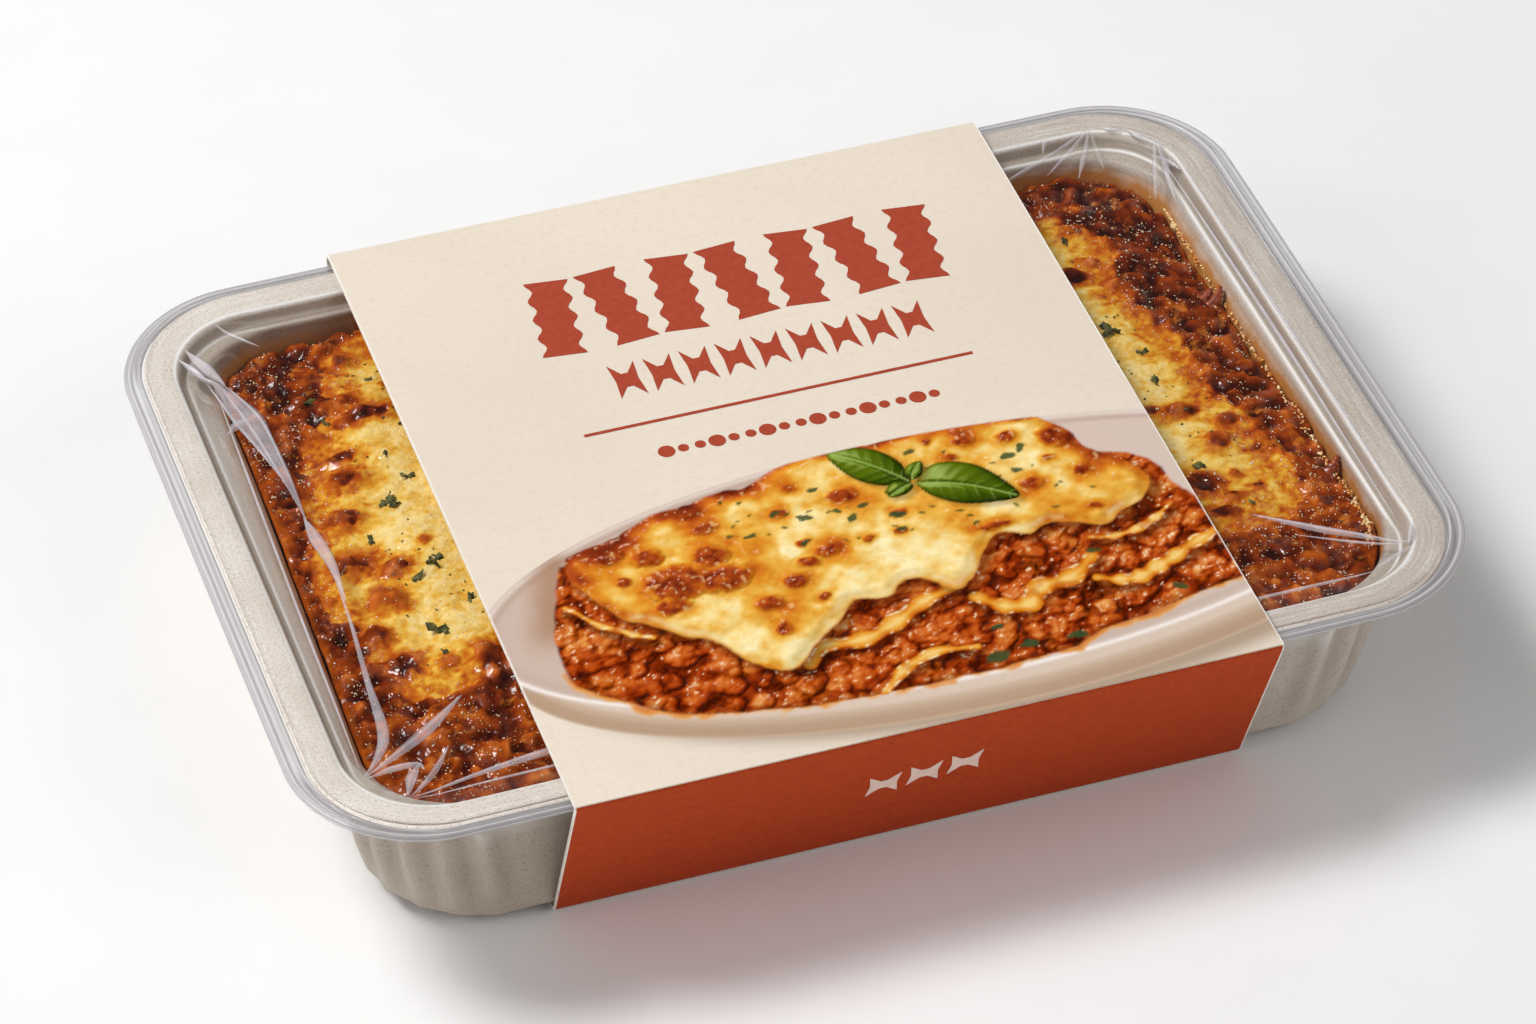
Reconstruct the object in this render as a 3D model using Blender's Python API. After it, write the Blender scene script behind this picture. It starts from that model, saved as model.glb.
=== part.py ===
"""A chilled ready meal: pasta baked in a moulded tray, sealed with clear film, in a card sleeve.

Metres, +Z up. X runs along the tray and Y across it. The origin is on the ground, under the
middle of the tray. The tray, film, clear rim and food are stacks of rounded rectangles, each
joined to the next. The named sizes are in millimetres.
"""

import math

import bmesh
import bpy
from mathutils import Matrix, Vector, noise

MM = 0.001

# Driving sizes
RIM_HALF = Vector((85.0, 60.9))  # half the length and width over the clear rim
RIM_RADIUS = 19.8  # its corners, seen from above
TRAY_HALF = Vector((81.9, 59.2))  # the same over the tray's own flange
TRAY_RADIUS = 17.4
GAP = 0.25  # clearance between neighbouring pieces
CARD = 0.45  # thickness of the sleeve's card
SHEET = 0.9  # thickness of the tray's moulded wall
FILM = 0.12  # thickness of the clear film
FLANGE_TOP = 30.0  # height of the flange that the film is sealed to
SLEEVE_TOP = 31.2  # height of the whole

# The tray's section, as insets from its flange's edge and as heights
FLANGE_INNER = 4.5  # the flange's flat ends here
FLANGE_THICK = 0.8
LEDGE = 27.6  # height of the small ledge inside the flange
LEDGE_INNER = 6.4
WALL_TOP = (5.8, 25.9)  # outside of the wall, just under the ledge
WALL_FOOT = (9.0, 3.9)  # outside of the wall, where the base starts to round
BASE_REACH = 4.2  # how far in the rounded base edge runs
FLANGE_RADIUS = 14.0
WALL_RADIUS = 16.8
TRAY_BASE = CARD + GAP

# Upright flutes pressed into the four corners
FLUTES = 5
FLUTE_OUT = 0.6
FLUTE_INSIDE = 0.3

# The food
FOOD_EDGE = 24.4  # height of the crust along the wall
FOOD_CROWN = 1.5  # the middle is this much higher
FOOD_RELIEF = 1.1  # height of the lumps on top
FOOD_LUMP = 15.0  # their typical spacing

# The card sleeve
SLEEVE_LENGTH = 100.7
SLEEVE_SHIFT = 0.3  # its middle sits this far to the right
SLEEVE_HALF_TOP = 63.05
SLEEVE_HALF_BASE = 50.0
SLEEVE_TURN = math.radians(-0.55)  # it sits a little askew on the tray
FOLD_FRONT = 0.6
FOLD_BACK = 1.6
FOLD_BASE = 2.2

# Resolution
FLUTED_STEPS = 4 * FLUTES  # steps round a corner that is fluted
ARC_STEPS = 12  # and round a plain one
SIDE_STEPS = 3
FOLD_STEPS = 6
BASE_STEPS = 5


def clear_scene():
    """Empties the scene."""
    for old in list(bpy.data.objects):
        bpy.data.objects.remove(old, do_unlink=True)


def finish(name, colour, roughness, alpha=1.0):
    """A plain material with the piece's own colour and gloss."""
    material = bpy.data.materials.new(name)
    material.use_nodes = True
    shader = material.node_tree.nodes["Principled BSDF"]
    shader.inputs["Base Color"].default_value = (*colour, 1.0)
    shader.inputs["Roughness"].default_value = roughness
    shader.inputs["Metallic"].default_value = 0.0
    shader.inputs["Alpha"].default_value = alpha
    return material


def outline(half, radius, flute, arc_steps):
    """A rounded rectangle in plan, anticlockwise from +X, with flutes round its corners."""
    ring = []
    for quarter in range(4):
        turn = quarter * math.pi / 2
        sign_x = 1 if quarter in (0, 3) else -1
        sign_y = 1 if quarter in (0, 1) else -1
        centre = Vector((sign_x * (half.x - radius), sign_y * (half.y - radius)))
        for step in range(arc_steps + 1):
            share = step / arc_steps
            angle = turn + share * math.pi / 2
            wave = 0.5 - 0.5 * math.cos(2 * math.pi * FLUTES * share)
            arm = Vector((math.cos(angle), math.sin(angle)))
            ring.append(centre + (radius + flute * wave) * arm)
        start = ring[-1]
        if quarter % 2 == 0:
            side = Vector((-sign_x * 2 * (half.x - radius), 0.0))
        else:
            side = Vector((0.0, -sign_y * 2 * (half.y - radius)))
        ring += [start + side * step / SIDE_STEPS for step in range(1, SIDE_STEPS)]
    return ring


def add_ring(bm, half, radius, height, flute=0.0, lift=None, arc_steps=ARC_STEPS):
    """Adds a ring of vertices; lift gives an extra height at each point of the plan."""
    ring = []
    for spot in outline(half, radius, flute, arc_steps):
        rise = lift(spot) if lift else 0.0
        ring.append(bm.verts.new(Vector((spot.x, spot.y, height + rise)) * MM))
    return ring


def bridge(bm, first, second):
    """Joins two rings of the same count with a band of quads."""
    count = len(first)
    for i in range(count):
        after = (i + 1) % count
        bm.faces.new((first[i], first[after], second[after], second[i]))


def bridge_all(bm, loops):
    """Joins each ring of a stack to the next."""
    for first, second in zip(loops, loops[1:]):
        bridge(bm, first, second)


def fill(bm, ring):
    """Closes a flat ring with a fan round its middle."""
    hub = bm.verts.new(sum((v.co for v in ring), Vector()) / len(ring))
    for i, vertex in enumerate(ring):
        bm.faces.new((vertex, ring[(i + 1) % len(ring)], hub))


def add_object(bm, name, material, sharp_angle):
    """Turns a bmesh into a named object whose faces point outwards."""
    bmesh.ops.recalc_face_normals(bm, faces=bm.faces)
    mesh = bpy.data.meshes.new(name)
    bm.to_mesh(mesh)
    bm.free()
    mesh.shade_smooth()
    mesh.set_sharp_from_angle(angle=math.radians(sharp_angle))
    mesh.materials.append(material)
    piece = bpy.data.objects.new(name, mesh)
    bpy.context.scene.collection.objects.link(piece)
    return piece


def inside_tray(inset):
    """Half sizes of a ring that lies this far inside the tray's flange edge."""
    return TRAY_HALF - Vector((inset, inset))


def wall_inset(height):
    """Inset of the outside of the tray's wall, which leans in evenly towards its foot."""
    share = (WALL_TOP[1] - height) / (WALL_TOP[1] - WALL_FOOT[1])
    return WALL_TOP[0] + share * (WALL_FOOT[0] - WALL_TOP[0])


def base_curve(foot, floor, reach):
    """A quarter ellipse from the foot of a wall down to a flat floor, as insets and heights."""
    angles = [math.pi / 2 * step / BASE_STEPS for step in range(1, BASE_STEPS + 1)]
    drop = foot[1] - floor
    return [
        (foot[0] + reach * (1 - math.cos(angle)), foot[1] - drop * math.sin(angle))
        for angle in angles
    ]


def base_radius(inset, foot):
    """The corners get tighter as the rounded base edge runs in."""
    return WALL_RADIUS - 0.5 * (inset - foot[0])


def tray_section():
    """The tray's rings, from under its base out over the flange and back in to its floor."""
    under = FLANGE_TOP - FLANGE_THICK
    edge_radius = TRAY_RADIUS - 0.2
    section = []
    for inset, height in reversed(base_curve(WALL_FOOT, TRAY_BASE, BASE_REACH)):
        fade = (height - TRAY_BASE) / (WALL_FOOT[1] - TRAY_BASE)
        section.append((inset, base_radius(inset, WALL_FOOT), height, FLUTE_OUT * fade))
    for share in (0.0, 0.5, 0.92):
        height = WALL_FOOT[1] + share * (WALL_TOP[1] - WALL_FOOT[1])
        section.append((wall_inset(height), WALL_RADIUS, height, FLUTE_OUT))
    section += [
        (WALL_TOP[0], WALL_RADIUS, WALL_TOP[1], 0.0),
        (LEDGE_INNER - 1.1, WALL_RADIUS - 0.5, LEDGE - SHEET, 0.0),
        (LEDGE_INNER - 1.9, FLANGE_RADIUS + 0.6, LEDGE - SHEET + 0.1, 0.0),
        (FLANGE_INNER - 0.35, FLANGE_RADIUS + 0.4, LEDGE - SHEET + 0.6, 0.0),
        (FLANGE_INNER - 0.55, FLANGE_RADIUS + 0.4, under - 0.5, 0.0),
        (FLANGE_INNER - 1.05, FLANGE_RADIUS + 0.6, under, 0.0),
        (0.3, edge_radius, under, 0.0),
        (0.0, TRAY_RADIUS, under + 0.25, 0.0),
        (0.0, TRAY_RADIUS, FLANGE_TOP - 0.25, 0.0),
        (0.3, edge_radius, FLANGE_TOP, 0.0),
        (FLANGE_INNER - 0.5, FLANGE_RADIUS + 0.3, FLANGE_TOP, 0.0),
        (FLANGE_INNER + 0.15, FLANGE_RADIUS, FLANGE_TOP - 0.3, 0.0),
        (FLANGE_INNER + 0.45, FLANGE_RADIUS, FLANGE_TOP - 0.9, 0.0),
        (FLANGE_INNER + 0.7, FLANGE_RADIUS, LEDGE + 0.4, 0.0),
        (FLANGE_INNER + 1.0, FLANGE_RADIUS, LEDGE + 0.05, 0.0),
        (LEDGE_INNER - 0.15, WALL_RADIUS - 1.0, LEDGE - 0.05, 0.0),
        (LEDGE_INNER + 0.25, WALL_RADIUS - 0.5, LEDGE - 0.6, 0.0),
        (WALL_TOP[0] + SHEET + 0.05, WALL_RADIUS, WALL_TOP[1] - 0.6, FLUTE_INSIDE),
        (WALL_FOOT[0] + SHEET, WALL_RADIUS, WALL_FOOT[1], FLUTE_INSIDE),
    ]
    inner_foot = (WALL_FOOT[0] + SHEET, WALL_FOOT[1])
    for inset, height in base_curve(inner_foot, TRAY_BASE + SHEET, BASE_REACH - SHEET):
        section.append((inset, base_radius(inset, inner_foot), height, 0.0))
    return section


def make_tray():
    """The moulded tray: flange, small ledge, fluted wall and rounded base in one sheet."""
    bm = bmesh.new()
    loops = []
    for inset, radius, height, flute in tray_section():
        half = inside_tray(inset)
        loops.append(add_ring(bm, half, radius, height, flute, arc_steps=FLUTED_STEPS))
    bridge_all(bm, loops)
    fill(bm, loops[0])
    fill(bm, loops[-1])
    return add_object(bm, "tray", finish("tray", (0.50, 0.46, 0.40), 0.55), 50.0)


def food_lift(spot):
    """How far the baked top stands above its edge: a low crown with uneven lumps."""
    crown = FOOD_CROWN * (1 - (spot.x / TRAY_HALF.x) ** 4) * (1 - (spot.y / TRAY_HALF.y) ** 4)
    coarse = Vector((spot.x, spot.y, 0.0)) / FOOD_LUMP
    fine = 2.1 * coarse + Vector((7.0, 3.0, 0.0))
    return crown + FOOD_RELIEF * (noise.noise(coarse) + 0.5 * noise.noise(fine))


def make_food():
    """The pasta fills the tray up to an uneven browned top."""
    play = SHEET + GAP + 0.15
    foot = (WALL_FOOT[0] + play, WALL_FOOT[1] + GAP)
    floor = TRAY_BASE + SHEET + GAP
    edge = wall_inset(FOOD_EDGE) + play
    bm = bmesh.new()
    loops = []
    for inset, height in reversed(base_curve(foot, floor, BASE_REACH - SHEET)):
        loops.append(add_ring(bm, inside_tray(inset), base_radius(inset, foot), height))
    loops.append(add_ring(bm, inside_tray(foot[0]), WALL_RADIUS, foot[1]))
    loops.append(add_ring(bm, inside_tray(edge), WALL_RADIUS, FOOD_EDGE - 2.4))
    rounded = [(0.25, -1.0), (1.0, -0.35), (2.4, -0.1)]
    inward = [(4.5 + 5.8 * step, 0.0) for step in range(8)]
    for inset, rise in rounded + inward:
        radius = max(1.2, WALL_RADIUS - 0.4 * inset)
        loops.append(
            add_ring(bm, inside_tray(edge + inset), radius, FOOD_EDGE + rise, lift=food_lift)
        )
    bridge_all(bm, loops)
    fill(bm, loops[0])
    fill(bm, loops[-1])
    return add_object(bm, "lasagne", finish("lasagne", (0.62, 0.30, 0.09), 0.45), 60.0)


def make_film():
    """The clear film: a thin sheet sealed to the flange and drawn flat over the opening."""
    bm = bmesh.new()
    low = FLANGE_TOP + GAP
    loops = []
    for height in (low, low + FILM):
        loops.append(add_ring(bm, inside_tray(0.3), TRAY_RADIUS - 0.3, height))
    bridge_all(bm, loops)
    fill(bm, loops[0])
    fill(bm, loops[-1])
    material = finish("film_lid", (0.9, 0.9, 0.92), 0.08, alpha=0.25)
    return add_object(bm, "film_lid", material, 40.0)


def make_rim():
    """The clear rim: a ridged lip that stands out round the flange."""
    crest = 30.4
    section = [
        (0.2, 29.1),
        (0.03, 29.2),
        (0.0, 29.75),
        (0.14, 30.05),
        (0.32, 30.05),
        (0.46, 29.85),
        (0.56, 29.9),
        (0.68, crest - 0.08),
        (0.78, crest),
        (0.9, crest - 0.08),
        (1.0, crest - 0.5),
        (1.0, 29.2),
        (0.82, 29.2),
        (0.76, 29.7),
        (0.5, 29.4),
        (0.26, 29.5),
    ]
    tray_side = TRAY_HALF + Vector((GAP, GAP))
    bm = bmesh.new()
    loops = []
    for share, height in section:
        half = RIM_HALF.lerp(tray_side, share)
        radius = RIM_RADIUS + share * (TRAY_RADIUS + GAP - RIM_RADIUS)
        loops.append(add_ring(bm, half, radius, height))
    bridge_all(bm, loops + loops[:1])
    material = finish("clear_rim", (0.86, 0.88, 0.92), 0.12, alpha=0.4)
    return add_object(bm, "clear_rim", material, 60.0)


def folded(corners, radii):
    """A closed outline in Y and Z whose corners are folded round their own radii."""
    points = []
    for i, (corner, radius) in enumerate(zip(corners, radii)):
        here = Vector(corner)
        to_last = (Vector(corners[i - 1]) - here).normalized()
        to_next = (Vector(corners[(i + 1) % len(corners)]) - here).normalized()
        half = to_last.angle(to_next) / 2
        centre = here + (to_last + to_next).normalized() * radius / math.sin(half)
        start = here + to_last * radius / math.tan(half) - centre
        end = here + to_next * radius / math.tan(half) - centre
        for step in range(FOLD_STEPS + 1):
            arm = start.lerp(end, step / FOLD_STEPS).normalized() * radius
            points.append(centre + arm)
    return points


def make_sleeve():
    """The card band goes once round the tray, and slopes in under it at the front and back."""
    outer_corners = [
        (-SLEEVE_HALF_BASE, 0.0),
        (-SLEEVE_HALF_TOP, SLEEVE_TOP),
        (SLEEVE_HALF_TOP, SLEEVE_TOP),
        (SLEEVE_HALF_BASE, 0.0),
    ]
    lean = math.atan2(SLEEVE_HALF_TOP - SLEEVE_HALF_BASE, SLEEVE_TOP)
    in_base = CARD / math.tan(math.pi / 4 + lean / 2)
    in_top = CARD / math.tan(math.pi / 4 - lean / 2)
    inner_corners = [
        (-SLEEVE_HALF_BASE + in_base, CARD),
        (-SLEEVE_HALF_TOP + in_top, SLEEVE_TOP - CARD),
        (SLEEVE_HALF_TOP - in_top, SLEEVE_TOP - CARD),
        (SLEEVE_HALF_BASE - in_base, CARD),
    ]
    radii = [FOLD_BASE, FOLD_FRONT, FOLD_BACK, FOLD_BASE]
    outer = folded(outer_corners, radii)
    inner = folded(inner_corners, [radius - CARD for radius in radii])
    bm = bmesh.new()
    loops = []
    for x, points in (
        (-SLEEVE_LENGTH / 2, outer),
        (SLEEVE_LENGTH / 2, outer),
        (SLEEVE_LENGTH / 2, inner),
        (-SLEEVE_LENGTH / 2, inner),
    ):
        loops.append([bm.verts.new(Vector((x, p.x, p.y)) * MM) for p in points])
    bridge_all(bm, loops + loops[:1])
    shift = Matrix.Translation((SLEEVE_SHIFT * MM, 0.0, 0.0))
    bm.transform(shift @ Matrix.Rotation(SLEEVE_TURN, 4, "Z"))
    return add_object(bm, "sleeve", finish("sleeve", (0.82, 0.72, 0.60), 0.7), 30.0)


clear_scene()
make_tray()
make_food()
make_film()
make_rim()
make_sleeve()
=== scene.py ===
# %% [markdown]
# # A baked pasta meal in its tray
#
# The object is a chilled meal: pasta baked in a moulded tray, sealed under clear film with a
# clear ridged rim, and held by a printed card sleeve. The solids come from the frame. This
# file gives them their finish, and models the soft and fine things on top: the browned
# cheese, the mince along the edges, the herbs, the creased film and the ink on the card.

# %% Load the frame
import math
import random

import bpy
import numpy as np
from mathutils import Matrix, Vector


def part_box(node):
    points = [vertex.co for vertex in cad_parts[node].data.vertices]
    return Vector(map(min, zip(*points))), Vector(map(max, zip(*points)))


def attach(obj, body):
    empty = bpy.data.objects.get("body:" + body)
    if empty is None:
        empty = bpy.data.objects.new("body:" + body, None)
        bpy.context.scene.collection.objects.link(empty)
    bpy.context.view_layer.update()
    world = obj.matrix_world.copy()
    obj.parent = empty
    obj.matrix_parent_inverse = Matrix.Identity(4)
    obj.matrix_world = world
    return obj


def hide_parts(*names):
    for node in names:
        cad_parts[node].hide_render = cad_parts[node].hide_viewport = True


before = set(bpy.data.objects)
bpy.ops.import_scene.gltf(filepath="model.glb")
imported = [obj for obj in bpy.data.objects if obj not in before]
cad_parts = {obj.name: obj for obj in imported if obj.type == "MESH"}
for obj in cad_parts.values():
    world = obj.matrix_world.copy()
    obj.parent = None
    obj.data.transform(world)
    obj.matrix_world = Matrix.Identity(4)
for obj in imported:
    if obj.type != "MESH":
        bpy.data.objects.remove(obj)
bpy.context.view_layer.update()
MM = 0.001
print("nodes:", sorted(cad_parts))

# %% [markdown]
# ## The camera
#
# The pack lies flat and is seen from its front left corner, from well above. A long lens
# far away keeps the sides of the tray nearly parallel. The camera is placed by two angles
# and a distance, and then rolled by a third of a degree.

# %% Camera
CAMERA_AZIMUTH = math.radians(18.7)
CAMERA_ELEVATION = math.radians(40.75)
CAMERA_ROLL = math.radians(-0.36)
CAMERA_DISTANCE = 0.8799
CAMERA_ASIDE = (-0.0024, 0.0134)
CAMERA_LENS = 142.7


def camera_turn(azimuth, elevation, roll):
    """The camera's turn: it looks along +Y at azimuth 0, and down by its elevation."""
    turn = Matrix.Rotation(-azimuth, 3, "Z") @ Matrix.Rotation(math.pi / 2 - elevation, 3, "X")
    return turn @ Matrix.Rotation(roll, 3, "Z")


bpy.ops.object.select_all(action="DESELECT")
bpy.ops.object.camera_add()
camera = bpy.context.object
turn = camera_turn(CAMERA_AZIMUTH, CAMERA_ELEVATION, CAMERA_ROLL)
camera.rotation_euler = turn.to_euler()
camera.location = turn @ Vector((*CAMERA_ASIDE, CAMERA_DISTANCE))
camera.data.lens = CAMERA_LENS
camera.data.clip_start = 0.05
bpy.context.scene.camera = camera
print("camera at", [round(v, 3) for v in camera.location])

# %% [markdown]
# ## Light and floor
#
# A plain studio: a pale floor, a large soft light over the back left corner, a weaker one
# on the right, and a pale surround that fills the shadows. The soft lights give the film and
# the rim their gloss; the white streaks on them are painted highlights in their finishes,
# partly the film's own milkiness at its creases.

# %% Light and floor
bpy.context.scene.view_settings.view_transform = "Standard"


def add_node(tree, kind, inputs=None, **settings):
    """Adds a shader node. Inputs hold numbers, colours or other nodes' sockets."""
    new = tree.nodes.new("ShaderNode" + kind)
    for name, value in settings.items():
        setattr(new, name, value)
    for name, value in (inputs or {}).items():
        if isinstance(value, bpy.types.NodeSocket):
            tree.links.new(value, new.inputs[name])
        else:
            new.inputs[name].default_value = value
    return new


def paint(red, green, blue):
    """A colour as a painter would mix it on screen, turned into the shader's linear values."""
    linear = [((v / 255 + 0.055) / 1.055) ** 2.4 if v > 10 else v / 3294.6 for v in (red, green, blue)]
    return (*linear, 1.0)


def new_finish(name, **values):
    """A material with one Principled shader, and plain values for some of its sockets."""
    material = bpy.data.materials.new(name)
    material.use_nodes = True
    shader = material.node_tree.nodes["Principled BSDF"]
    for socket, value in values.items():
        shader.inputs[socket.replace("_", " ")].default_value = value
    return material, material.node_tree, shader


def ramp(tree, factor, stops, smooth=False):
    """A colour ramp over a factor; stops are positions with colours."""
    new = add_node(tree, "ValToRGB", {"Fac": factor})
    new.color_ramp.interpolation = "EASE" if smooth else "LINEAR"
    elements = new.color_ramp.elements
    while len(elements) < len(stops):
        elements.new(0.5)
    for element, (position, colour) in zip(elements, stops):
        element.position = position
        element.color = colour
    return new.outputs["Color"]


def maths(tree, operation, first, second=0.0, clamp=False):
    """One arithmetic step between sockets or numbers."""
    new = add_node(tree, "Math", {0: first, 1: second}, operation=operation, use_clamp=clamp)
    return new.outputs[0]


def mix_colour(tree, factor, first, second, blend="MIX"):
    """Mixes two colours by a factor."""
    new = add_node(tree, "Mix", data_type="RGBA", blend_type=blend, clamp_factor=True)
    for index, value in ((0, factor), (6, first), (7, second)):
        if isinstance(value, bpy.types.NodeSocket):
            tree.links.new(value, new.inputs[index])
        else:
            new.inputs[index].default_value = value
    return new.outputs[2]


def noise(tree, scale, detail=3.0, rough=0.5, vector=None, distortion=0.0):
    """A noise pattern in object space; scale is in cells for each metre."""
    vector = vector or add_node(tree, "TexCoord").outputs["Object"]
    values = {"Vector": vector, "Scale": scale, "Detail": detail, "Roughness": rough, "Distortion": distortion}
    return add_node(tree, "TexNoise", values).outputs["Fac"]


def bump(tree, shader, height, strength, distance):
    """Drives a shader's normal by a height."""
    values = {"Height": height, "Strength": strength, "Distance": distance}
    tree.links.new(add_node(tree, "Bump", values).outputs["Normal"], shader.inputs["Normal"])


def add_softbox(name, azimuth, elevation, distance, size, power, colour=(1.0, 1.0, 1.0)):
    """A square light that looks at the pack from an azimuth and an elevation in degrees."""
    around, above = math.radians(azimuth), math.radians(elevation)
    way = Vector((math.sin(around) * math.cos(above), math.cos(around) * math.cos(above), math.sin(above)))
    bpy.ops.object.light_add(type="AREA", location=way * distance)
    light = bpy.context.object
    light.name = name
    light.rotation_euler = way.to_track_quat("Z", "Y").to_euler()
    light.data.size = size
    light.data.energy = power
    light.data.color = colour
    return light


add_softbox("key_light", -58, 57, 1.5, 0.5, 16.6)
add_softbox("left_light", -105, 35, 1.5, 0.8, 3.2)
add_softbox("front_light", 145, 38, 1.8, 1.0, 5.6)

world = bpy.data.worlds.new("surround")
world.use_nodes = True
world.node_tree.nodes["Background"].inputs["Color"].default_value = (1.0, 1.0, 1.0, 1.0)
world.node_tree.nodes["Background"].inputs["Strength"].default_value = 0.22
bpy.context.scene.world = world

bpy.ops.object.select_all(action="DESELECT")
bpy.ops.mesh.primitive_plane_add(size=8.0, location=(0.0, 0.0, -0.0001))
floor = bpy.context.object
floor.name = "floor"
material, tree, shader = new_finish("floor", Roughness=0.9, Specular_IOR_Level=0.2)
grain = noise(tree, 40.0)
white, off_white = (0.93, 0.93, 0.93, 1.0), (0.91, 0.91, 0.91, 1.0)
tree.links.new(ramp(tree, grain, [(0.3, off_white), (0.7, white)]), shader.inputs["Base Color"])
floor.data.materials.append(material)

# %% [markdown]
# ## The moulded tray
#
# The real tray is one thin sheet, pressed from a grey-beige board with fine dark specks. The
# frame's solid has the right shape but flat facets. A copy of it is merged into quads and
# smoothed with a Subdivision Surface, which keeps the section and rounds the facets. Then it
# gets a speckled finish, with oil stains on the inside just above the food. Light and shade
# are painted into that finish too: sheen streaks and glints on the flange, white highlight
# lines at the inner edges, light and dark lines on the inner wall, and painted shade on the
# outer wall, on the step, in the flute valleys and low on the back left.

# %% Tools for working on meshes


def only(*objects):
    """Deselects everything, then selects these objects, the first one active."""
    bpy.ops.object.select_all(action="DESELECT")
    for piece in objects:
        piece.select_set(True)
    bpy.context.view_layer.objects.active = objects[0]


def finer_copy(node, name, levels):
    """A copy of a frame node, merged, turned into quads and smoothed."""
    piece = bpy.data.objects.new(name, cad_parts[node].data.copy())
    bpy.context.scene.collection.objects.link(piece)
    piece.data.materials.clear()
    only(piece)
    bpy.ops.mesh.customdata_custom_splitnormals_clear()
    bpy.ops.object.mode_set(mode="EDIT")
    bpy.ops.mesh.select_all(action="SELECT")
    bpy.ops.mesh.remove_doubles(threshold=0.000002)
    bpy.ops.mesh.tris_convert_to_quads(face_threshold=math.pi, shape_threshold=math.pi)
    bpy.ops.object.mode_set(mode="OBJECT")
    modifier = piece.modifiers.new("finer", "SUBSURF")
    modifier.levels = levels
    modifier.render_levels = levels
    bpy.ops.object.modifier_apply(modifier=modifier.name)
    bpy.ops.object.shade_smooth()
    print(name, "has", len(piece.data.polygons), "faces")
    return piece


def set_values(piece, name, values):
    """Stores one number for each vertex, which a material can read by its name."""
    layer = piece.data.attributes.new(name, "FLOAT", "POINT")
    layer.data.foreach_set("value", np.asarray(values, dtype=np.float32))


def places(piece):
    """The places of a piece's vertices, as rows of x, y and z in metres."""
    found = np.empty(len(piece.data.vertices) * 3, dtype=np.float32)
    piece.data.vertices.foreach_get("co", found)
    return found.reshape(-1, 3)


def move_to(piece, points):
    """Gives a piece's vertices new places."""
    piece.data.vertices.foreach_set("co", np.asarray(points, dtype=np.float32).ravel())
    piece.data.update()


def smooth_step(low, high, value):
    """Runs smoothly from 0 at low to 1 at high."""
    share = np.clip((value - low) / (high - low), 0, 1)
    return share * share * (3 - 2 * share)


# %% Places along and across the flange


def wall_lean(x, y):
    """How far the wall and the food's edge lie inward at the sides, most at the back left."""
    left = np.clip(3.0 + 0.03 * y / MM, 1.4, 3.8) * smooth_step(-60 * MM, -73 * MM, x)
    right = 1.3 * smooth_step(-8 * MM, 6 * MM, y) * smooth_step(60 * MM, 73 * MM, x)
    along = smooth_step(53 * MM, 38 * MM, y) * smooth_step(-54 * MM, -44 * MM, y)
    return (left - right) * along * MM


def lane_and_run(spots, half_x, half_y, radius):
    """How far in from a rounded rectangle each point lies, and how far along its edge."""
    x, y = spots[:, 0].astype(float), spots[:, 1].astype(float)
    core_x, core_y = half_x - radius, half_y - radius
    out_x, out_y = np.abs(x) - core_x, np.abs(y) - core_y
    angle = np.arctan2(np.maximum(out_y, 0), np.maximum(out_x, 1e-9))
    corner = core_y + angle * radius
    beside = (out_y <= 0) & (out_x >= out_y)
    ahead = (out_x <= 0) & (out_y > out_x)
    run = np.where(beside, np.abs(y), np.where(ahead, core_y + radius * math.pi / 2 + core_x - np.abs(x), corner))
    outside = np.hypot(np.maximum(out_x, 0), np.maximum(out_y, 0))
    lane = radius - outside - np.minimum(np.maximum(out_x, out_y), 0)
    return lane, np.sign(y) * run + np.where(x > 0, 0.0, 1.0)


def set_lanes(piece, half_x, half_y, radius):
    """Stores the lane and the run of each vertex, in millimetres."""
    lane, run = lane_and_run(places(piece), half_x, half_y, radius)
    set_values(piece, "lane", lane / MM)
    set_values(piece, "run", run / MM)


def streaks(tree, length, width, detail=3.0, rough=0.6, aside=0.0):
    """Noise drawn out along the flange: cells of this length and width in millimetres."""
    lane = add_node(tree, "Attribute", attribute_name="lane").outputs["Fac"]
    run = add_node(tree, "Attribute", attribute_name="run").outputs["Fac"]
    parts = {0: maths(tree, "DIVIDE", run, length), 1: maths(tree, "DIVIDE", lane, width), 2: aside}
    vector = add_node(tree, "CombineXYZ", parts).outputs[0]
    return noise(tree, 1.0, detail, rough, vector)


# %% Tray
tray = finer_copy("tray", "moulded_tray", 2)
tray_low, tray_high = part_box("tray")
normals = np.empty(len(tray.data.vertices) * 3, dtype=np.float32)
tray.data.vertices.foreach_get("normal", normals)
normals = normals.reshape(-1, 3)
spots = places(tray).astype(np.float64)
inward = -np.sum(normals[:, :2] * spots[:, :2], axis=1) / np.linalg.norm(spots[:, :2], axis=1)
inner_face = np.clip(inward * 2.0, 0.0, 1.0)
set_values(tray, "inside", inner_face)
set_lanes(tray, tray_high.x, tray_high.y, 17.4 * MM)
wall_inset = 5.8 * MM + (25.9 * MM - spots[:, 2]) / 22.0 * 3.2
past_x = np.abs(spots[:, 0]) - (tray_high.x - wall_inset - 16.8 * MM)
past_y = np.abs(spots[:, 1]) - (tray_high.y - wall_inset - 16.8 * MM)
round_share = np.arctan2(past_y, past_x) / (math.pi / 2)
in_corner = (past_x > 0) & (past_y > 0) & (inner_face < 0.3)
upright = smooth_step(1.5 * MM, 12 * MM, spots[:, 2]) * smooth_step(26.0 * MM, 24.0 * MM, spots[:, 2]) * in_corner
flute = 0.5 - 0.5 * np.cos(2 * math.pi * 5 * round_share)
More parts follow.
